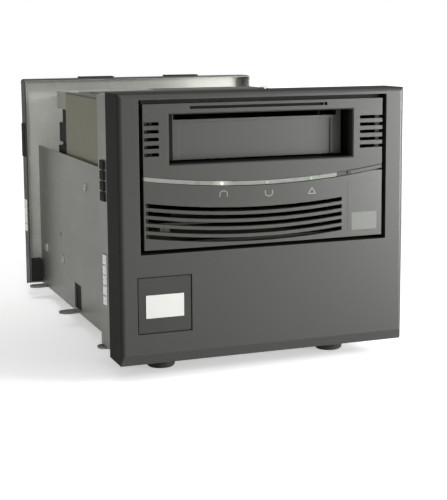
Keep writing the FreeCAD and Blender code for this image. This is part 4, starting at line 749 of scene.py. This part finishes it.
# tongues with two rows of contacts in the ports' shells
PORT_FLOOR, TONGUE_BACK, TONGUE_BREAK = 11.6 * MM, 0.6 * MM, 0.3 * MM
TONGUE_WIDTH, TONGUE_THICK = 34.0 * MM, 3.2 * MM
PORT_PIN = 3.6 * MM
PORT_ROWS = {
    "columns": 25, "rows": 2, "pitch": 1.27 * MM, "row_pitch": TONGUE_THICK + 0.3 * MM, "radius": 0.3 * MM}
tongues = bmesh.new()
for number, (low, high) in enumerate(lumps("signal_ports")):
    middle = (low + high) / 2
    floor_y = low.y + PORT_FLOOR
    bar(tongues, (middle.x - TONGUE_WIDTH / 2, floor_y, middle.z - TONGUE_THICK / 2),
        (middle.x + TONGUE_WIDTH / 2, high.y - TONGUE_BACK, middle.z + TONGUE_THICK / 2), TONGUE_BREAK)
    name = "port_contacts_%d" % number
    place = (middle.x, floor_y + PORT_PIN, middle.z)
    settle(name, contact_rows(name, place, length=PORT_PIN, **PORT_ROWS), "chassis")
settle("port_tongues", finished(tongues, "port_tongues", black), "chassis")

SUNK = 0.03 * MM


def tube(shape, loops):
    """closes a row of four-cornered loops to a solid band"""
    for first, second in zip(loops, loops[1:]):
        for index in range(4):
            after = (index + 1) % 4
            shape.faces.new((first[index], first[after], second[after], second[index]))
    shape.faces.new(loops[0])
    shape.faces.new(loops[-1][::-1])


def laid(shape, tree, sections, proud, way=1.0):
    """a thin closed band that follows a face, from pairs of edge points seen along Y"""
    loops = []
    for pair in sections:
        ring = []
        for level in (-proud, SUNK):
            for x, z in pair:
                hit = tree.ray_cast(Vector((x, -way, z)), Vector((0.0, way, 0.0)))[0]
                ring.append(shape.verts.new((x, hit.y + level * way, z)))
        loops.append((ring[0], ring[1], ring[3], ring[2]))
    tube(shape, loops)


def band(points, width):
    """the two edges of a drawn line of even width"""
    pairs = []
    for index, (x, z) in enumerate(points):
        before = points[max(index - 1, 0)]
        after = points[min(index + 1, len(points) - 1)]
        along = Vector((after[0] - before[0], after[1] - before[1])).normalized() * (width / 2)
        pairs.append(((x - along.y, z + along.x), (x + along.y, z - along.x)))
    return pairs


ARCH_STEPS, ARCH_SPRING = 12, 0.1
PANEL_COLUMNS = 16


def arch(x, z, half, rise, way):
    """a line that goes up, over in a half round and down again"""
    curve = []
    for step in range(ARCH_STEPS + 1):
        turn = math.pi * step / ARCH_STEPS
        height = rise * ARCH_SPRING + rise * (1.0 - ARCH_SPRING) * math.sin(turn)
        curve.append((x - half * math.cos(turn), z + way * height))
    return [(x - half, z - way * rise)] + curve + [(x + half, z - way * rise)]


def panel(x0, x1, z0, z1):
    """a rectangle in narrow columns, so that it can bend with the face below"""
    columns = [x0 + (x1 - x0) * step / PANEL_COLUMNS for step in range(PANEL_COLUMNS + 1)]
    return [((x, z0), (x, z1)) for x in columns]


# icons, label field and blank label on the drive's lower face
INK_PROUD, LABEL_PROUD = 0.05 * MM, 0.12 * MM
FIELD = (50.8 * MM, 72.4 * MM, 78.0 * MM, 108.0 * MM)
LABEL = (53.4 * MM, 70.0 * MM, 78.6 * MM, 89.0 * MM)
LINE = 0.55 * MM
ARCH_HALF, ARCH_RISE = 2.2 * MM, 1.7 * MM
ARCHES = ((-26.9 * MM, 104.3 * MM, 1), (0.6 * MM, 103.4 * MM, -1))
PEAK = [(25.2 * MM, 101.7 * MM), (27.6 * MM, 105.1 * MM), (30.0 * MM, 101.7 * MM)]
lower_face = skin("grille_panel")
label_film = moulded("label_field_film", ink(59, 60, 56), rough=0.5, grain=0.01 * MM, sheen_level=0.75)
label_field = bmesh.new()
laid(label_field, lower_face, panel(*FIELD), INK_PROUD)
settle("label_field", finished(label_field, "label_field", label_film), "chassis")
label_paper = printed("blank_label_paper", ink(92, 94, 89))
blank_label = bmesh.new()
laid(blank_label, lower_face, panel(*LABEL), LABEL_PROUD)
settle("blank_label", finished(blank_label, "blank_label", label_paper), "chassis")
icon_ink = printed("pale_icon_ink", ink(128, 130, 124))
icons = bmesh.new()
for x, z, way in ARCHES:
    laid(icons, lower_face, band(arch(x, z, ARCH_HALF, ARCH_RISE, way), LINE), INK_PROUD)
for start, end in zip(PEAK, PEAK[1:] + PEAK[:1]):
    laid(icons, lower_face, band([start, end], LINE), INK_PROUD)
settle("status_icons", finished(icons, "status_icons", icon_ink), "chassis")

# infill between the light strip and the eject button, with its pinhole as a near-black disc of painted shade
END_REACH, FRONT_REACH = 0.6 * MM, 0.5 * MM
INFILL_DEPTH, INFILL_LAP, INFILL_BREAK = 2.4 * MM, 0.1 * MM, 0.12 * MM
STRIP_GAP, BUTTON_GAP = 0.1 * MM, -0.4 * MM
HOLE_RADIUS, HOLE_INSET, HOLE_PROUD, HOLE_STEPS = 0.8 * MM, 1.9 * MM, 0.02 * MM, 10


def end_face(name, side):
    """place, front and height range of the left or right end of a node"""
    shape = merged(name)
    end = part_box(name)[side][X]
    close = [vertex.co.copy() for vertex in shape.verts if abs(vertex.co.x - end) < END_REACH]
    shape.free()
    front = min(point.y for point in close)
    heights = [point.z for point in close if point.y < front + FRONT_REACH]
    return end, front, min(heights), max(heights)


infill = bmesh.new()
loops = []
for (end, front, low, high), gap in ((end_face("light_strip", HIGH), STRIP_GAP),
                                     (end_face("eject_button", LOW), BUTTON_GAP)):
    back, foot, top = front + INFILL_DEPTH, low - INFILL_LAP, high + INFILL_LAP
    loops.append([infill.verts.new((end + gap, y, z))
                  for y, z in ((front, foot), (front, top), (back, top), (back, foot))])
    hole_x, hole_z = end - HOLE_INSET, (low + high) / 2
tube(infill, loops)
infill_face = BVHTree.FromBMesh(infill)
bmesh.ops.bevel(infill, geom=list(infill.edges), offset=INFILL_BREAK, **BREAK_PROFILE)
settle("strip_infill", finished(infill, "strip_infill", grille), "chassis")
hole_rows = []
for step in range(1, HOLE_STEPS):
    turn = math.pi * step / HOLE_STEPS
    x, half = hole_x - HOLE_RADIUS * math.cos(turn), HOLE_RADIUS * math.sin(turn)
    hole_rows.append(((x, hole_z - half), (x, hole_z + half)))
# painted shade: the pinhole is a near-black disc laid on the face, not a cut hole
hole_shade = foam("dark_hole", ink(10, 10, 10))
pinhole = bmesh.new()
laid(pinhole, infill_face, hole_rows, HOLE_PROUD)
settle("reset_pinhole", finished(pinhole, "reset_pinhole", hole_shade), "chassis")

# black foam strip that closes the gap over the drive's face, put in as painted shade so that the gap reads dark
GAP_SHADE_INSET, GAP_SHADE_DEPTH, GAP_SHADE_RISE, GAP_SHADE_BREAK = 4.0 * MM, 5.0 * MM, 2.3 * MM, 0.3 * MM
face_low, face_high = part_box("drive_bezel")
gap_shade_front = face_low[Y] + GAP_SHADE_INSET
gap_shade = bmesh.new()
bar(gap_shade, (face_low[X], gap_shade_front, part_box("drive_top_cover")[HIGH][Z]),
    (face_high[X], gap_shade_front + GAP_SHADE_DEPTH, face_high[Z] + GAP_SHADE_RISE), GAP_SHADE_BREAK)
settle("gap_seal", finished(gap_shade, "gap_seal", foam_pad), "chassis")

# on and off marks of the power switch, seen from behind
ON_FOOT, ON_TOP, ON_LINE = 2.6 * MM, 5.4 * MM, 0.7 * MM
OFF_DROP, OFF_RADIUS, OFF_LINE, OFF_STEPS = 4.2 * MM, 1.5 * MM, 0.6 * MM, 24
rocker_low, rocker_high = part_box("power_rocker")
rocker_x = (rocker_low[X] + rocker_high[X]) / 2
rocker_z = (rocker_low[Z] + rocker_high[Z]) / 2
rocker_face = skin("power_rocker")
off_turns = [2 * math.pi * step / OFF_STEPS for step in range(OFF_STEPS)]
off_ring = [(rocker_x + OFF_RADIUS * math.cos(turn), rocker_z - OFF_DROP + OFF_RADIUS * math.sin(turn))
            for turn in off_turns]
mark_ink = printed("white_mark_ink", ink(222, 222, 218))
marks = bmesh.new()
on_line = [(rocker_x, rocker_z + ON_FOOT), (rocker_x, rocker_z + ON_TOP)]
laid(marks, rocker_face, band(on_line, ON_LINE), INK_PROUD, way=-1.0)
laid(marks, rocker_face, band(off_ring + off_ring[:1], OFF_LINE), INK_PROUD, way=-1.0)
settle("rocker_marks", finished(marks, "rocker_marks", mark_ink), "switch")


def lathe(shape, place, profile, sides):
    """a turned piece from points of radius and height, closed at both ends"""
    turns = [2 * math.pi * step / sides for step in range(sides)]
    rings = [[shape.verts.new((place.x + radius * math.cos(turn), place.y + radius * math.sin(turn), height))
              for turn in turns] for radius, height in profile]
    for lower, upper in zip(rings, rings[1:]):
        for step in range(sides):
            after = (step + 1) % sides
            shape.faces.new((lower[step], lower[after], upper[after], upper[step]))
    shape.faces.new(rings[0][::-1])
    shape.faces.new(rings[-1])


# feet with a rounded tread and a hollow for the screw, as shares of radius and height
FOOT_SIDES = 48
FOOT_PROFILE = ((0.3, 0.3), (0.34, 0.0), (0.82, 0.0), (0.9, 0.06), (0.94, 0.2), (1.0, 0.9), (1.0, 1.0))
feet = bmesh.new()
for low, high in lumps("rubber_feet"):
    wide = (high.x - low.x) / 2
    lathe(feet, (low + high) / 2, [(wide * radius, high.z * height) for radius, height in FOOT_PROFILE],
          FOOT_SIDES)
settle("turned_feet", finished(feet, "turned_feet", tread), "chassis", ["rubber_feet"])


# ---- camera, light and floor ----

# camera at the photograph's view
LENS_PIXELS, PHOTO_HEIGHT, SENSOR = 1231.0, 500.0, 36.0
YAW, PITCH, ROLL = math.radians(20.78), math.radians(7.95), math.radians(-0.41)
view = bpy.data.cameras.new("photo_view")
view.sensor_width = SENSOR
view.lens = LENS_PIXELS / PHOTO_HEIGHT * SENSOR
view.shift_y = -0.09
camera = bpy.data.objects.new("photo_view", view)
bpy.context.scene.collection.objects.link(camera)
look = Vector((math.sin(YAW) * math.cos(PITCH), math.cos(YAW) * math.cos(PITCH), -math.sin(PITCH)))
upright = look.to_track_quat("-Z", "Y").to_matrix()
camera.location = (-0.2699, -0.7712, 0.1936)
camera.rotation_euler = (upright @ Matrix.Rotation(ROLL, 3, "Z")).to_euler()
bpy.context.scene.camera = camera
bpy.context.scene.view_settings.view_transform = "Standard"


def softbox(name, place, aim, wide, tall, watts, spread=180.0):
    """a soft lamp that faces a point, with its beam's spread in degrees"""
    light = bpy.data.lights.new(name, "AREA")
    light.shape = "RECTANGLE"
    light.size = wide
    light.size_y = tall
    light.energy = watts
    light.spread = math.radians(spread)
    lamp = bpy.data.objects.new(name, light)
    bpy.context.scene.collection.objects.link(lamp)
    lamp.location = place
    lamp.rotation_euler = (Vector(aim) - Vector(place)).to_track_quat("-Z", "Y").to_euler()


softbox("right_softbox", (0.47, -0.46, 0.16), aim=(0.05, -0.13, 0.07), wide=0.25, tall=0.3, watts=6.2)
softbox("left_softbox", (-0.62, -1.1, 0.6), aim=(-0.05, 0.1, 0.1), wide=0.4, tall=0.4, watts=1.3)
softbox("top_softbox", (0.2, -0.5, 1.0), aim=(0.0, 0.0, 0.1), wide=1.0, tall=0.6, watts=3.0)
softbox("back_softbox", (-0.2, -0.25, 0.45), aim=(-0.075, 0.12, 0.13), wide=0.12, tall=0.12, watts=0.08,
        spread=40.0)

# studio surround: white for the eye, for light and gloss brighter to the right and above
ALL_ROUND, FROM_BACK, FROM_RIGHT, FROM_ABOVE = 0.06, 0.06, 0.3, 0.3
room = bpy.data.worlds.new("studio")
bpy.context.scene.world = room
room.use_nodes = True
air = Web(room.node_tree)
air.tree.nodes.clear()
way = air.add("ShaderNodeSeparateXYZ", None, {0: air.add("ShaderNodeTexCoord").out("Generated")})
level = (air.held(way.out("Y")) * FROM_BACK + air.held(way.out("X")) * FROM_RIGHT
         + air.held(way.out("Z")) * FROM_ABOVE + ALL_ROUND)
rays = air.add("ShaderNodeLightPath")
soft = air.add("ShaderNodeBackground", None, {"Color": WHITE, "Strength": level})
white_air = air.add("ShaderNodeBackground", None, {"Color": WHITE, "Strength": 1.0})
seen = air.held(rays.out("Is Camera Ray") + rays.out("Is Transmission Ray") + rays.out("Is Glossy Ray") * level)
blend = air.add("ShaderNodeMixShader", None, {0: seen, 1: soft, 2: white_air})
air.add("ShaderNodeOutputWorld", None, {"Surface": blend})

# pale floor that keeps the shadow, lifted to white away from the part
FLOOR_HALF, LIFT_START, NEAR_LIFT, GLOSS_SHARE = 4, 0.3, (0.47, 0.47, 0.47, 1), 0.6
ground = bpy.data.meshes.new("floor")
ground.from_pydata([(-FLOOR_HALF, -FLOOR_HALF, 0), (FLOOR_HALF, -FLOOR_HALF, 0), (FLOOR_HALF, FLOOR_HALF, 0),
                    (-FLOOR_HALF, FLOOR_HALF, 0)], [], [(0, 1, 2, 3)])
floor = bpy.data.objects.new("floor", ground)
bpy.context.scene.collection.objects.link(floor)
paper = Finish("floor_paper")
grain = paper.noise(per_metre=300)
pale = paper.mix(grain, ink(232, 233, 232), ink(240, 240, 239))
matt = paper.add("ShaderNodeBsdfDiffuse", None, {"Color": pale})
far = paper.held(paper.vector("LENGTH", paper.spot, (0, 0, 0), "Value") - LIFT_START)
lift = paper.add("ShaderNodeEmission", None, {"Color": paper.mix(far, NEAR_LIFT, WHITE), "Strength": 1.0})
both = paper.add("ShaderNodeAddShader", None, {0: matt, 1: lift})
rays = paper.add("ShaderNodeLightPath")
eye = paper.held(rays.out("Is Camera Ray") + rays.out("Is Transmission Ray")
                 + rays.out("Is Glossy Ray") * GLOSS_SHARE)
paper.add("ShaderNodeOutputMaterial", None, {
    "Surface": paper.add("ShaderNodeMixShader", None, {0: eye, 1: matt, 2: both})})
ground.materials.append(paper.material)
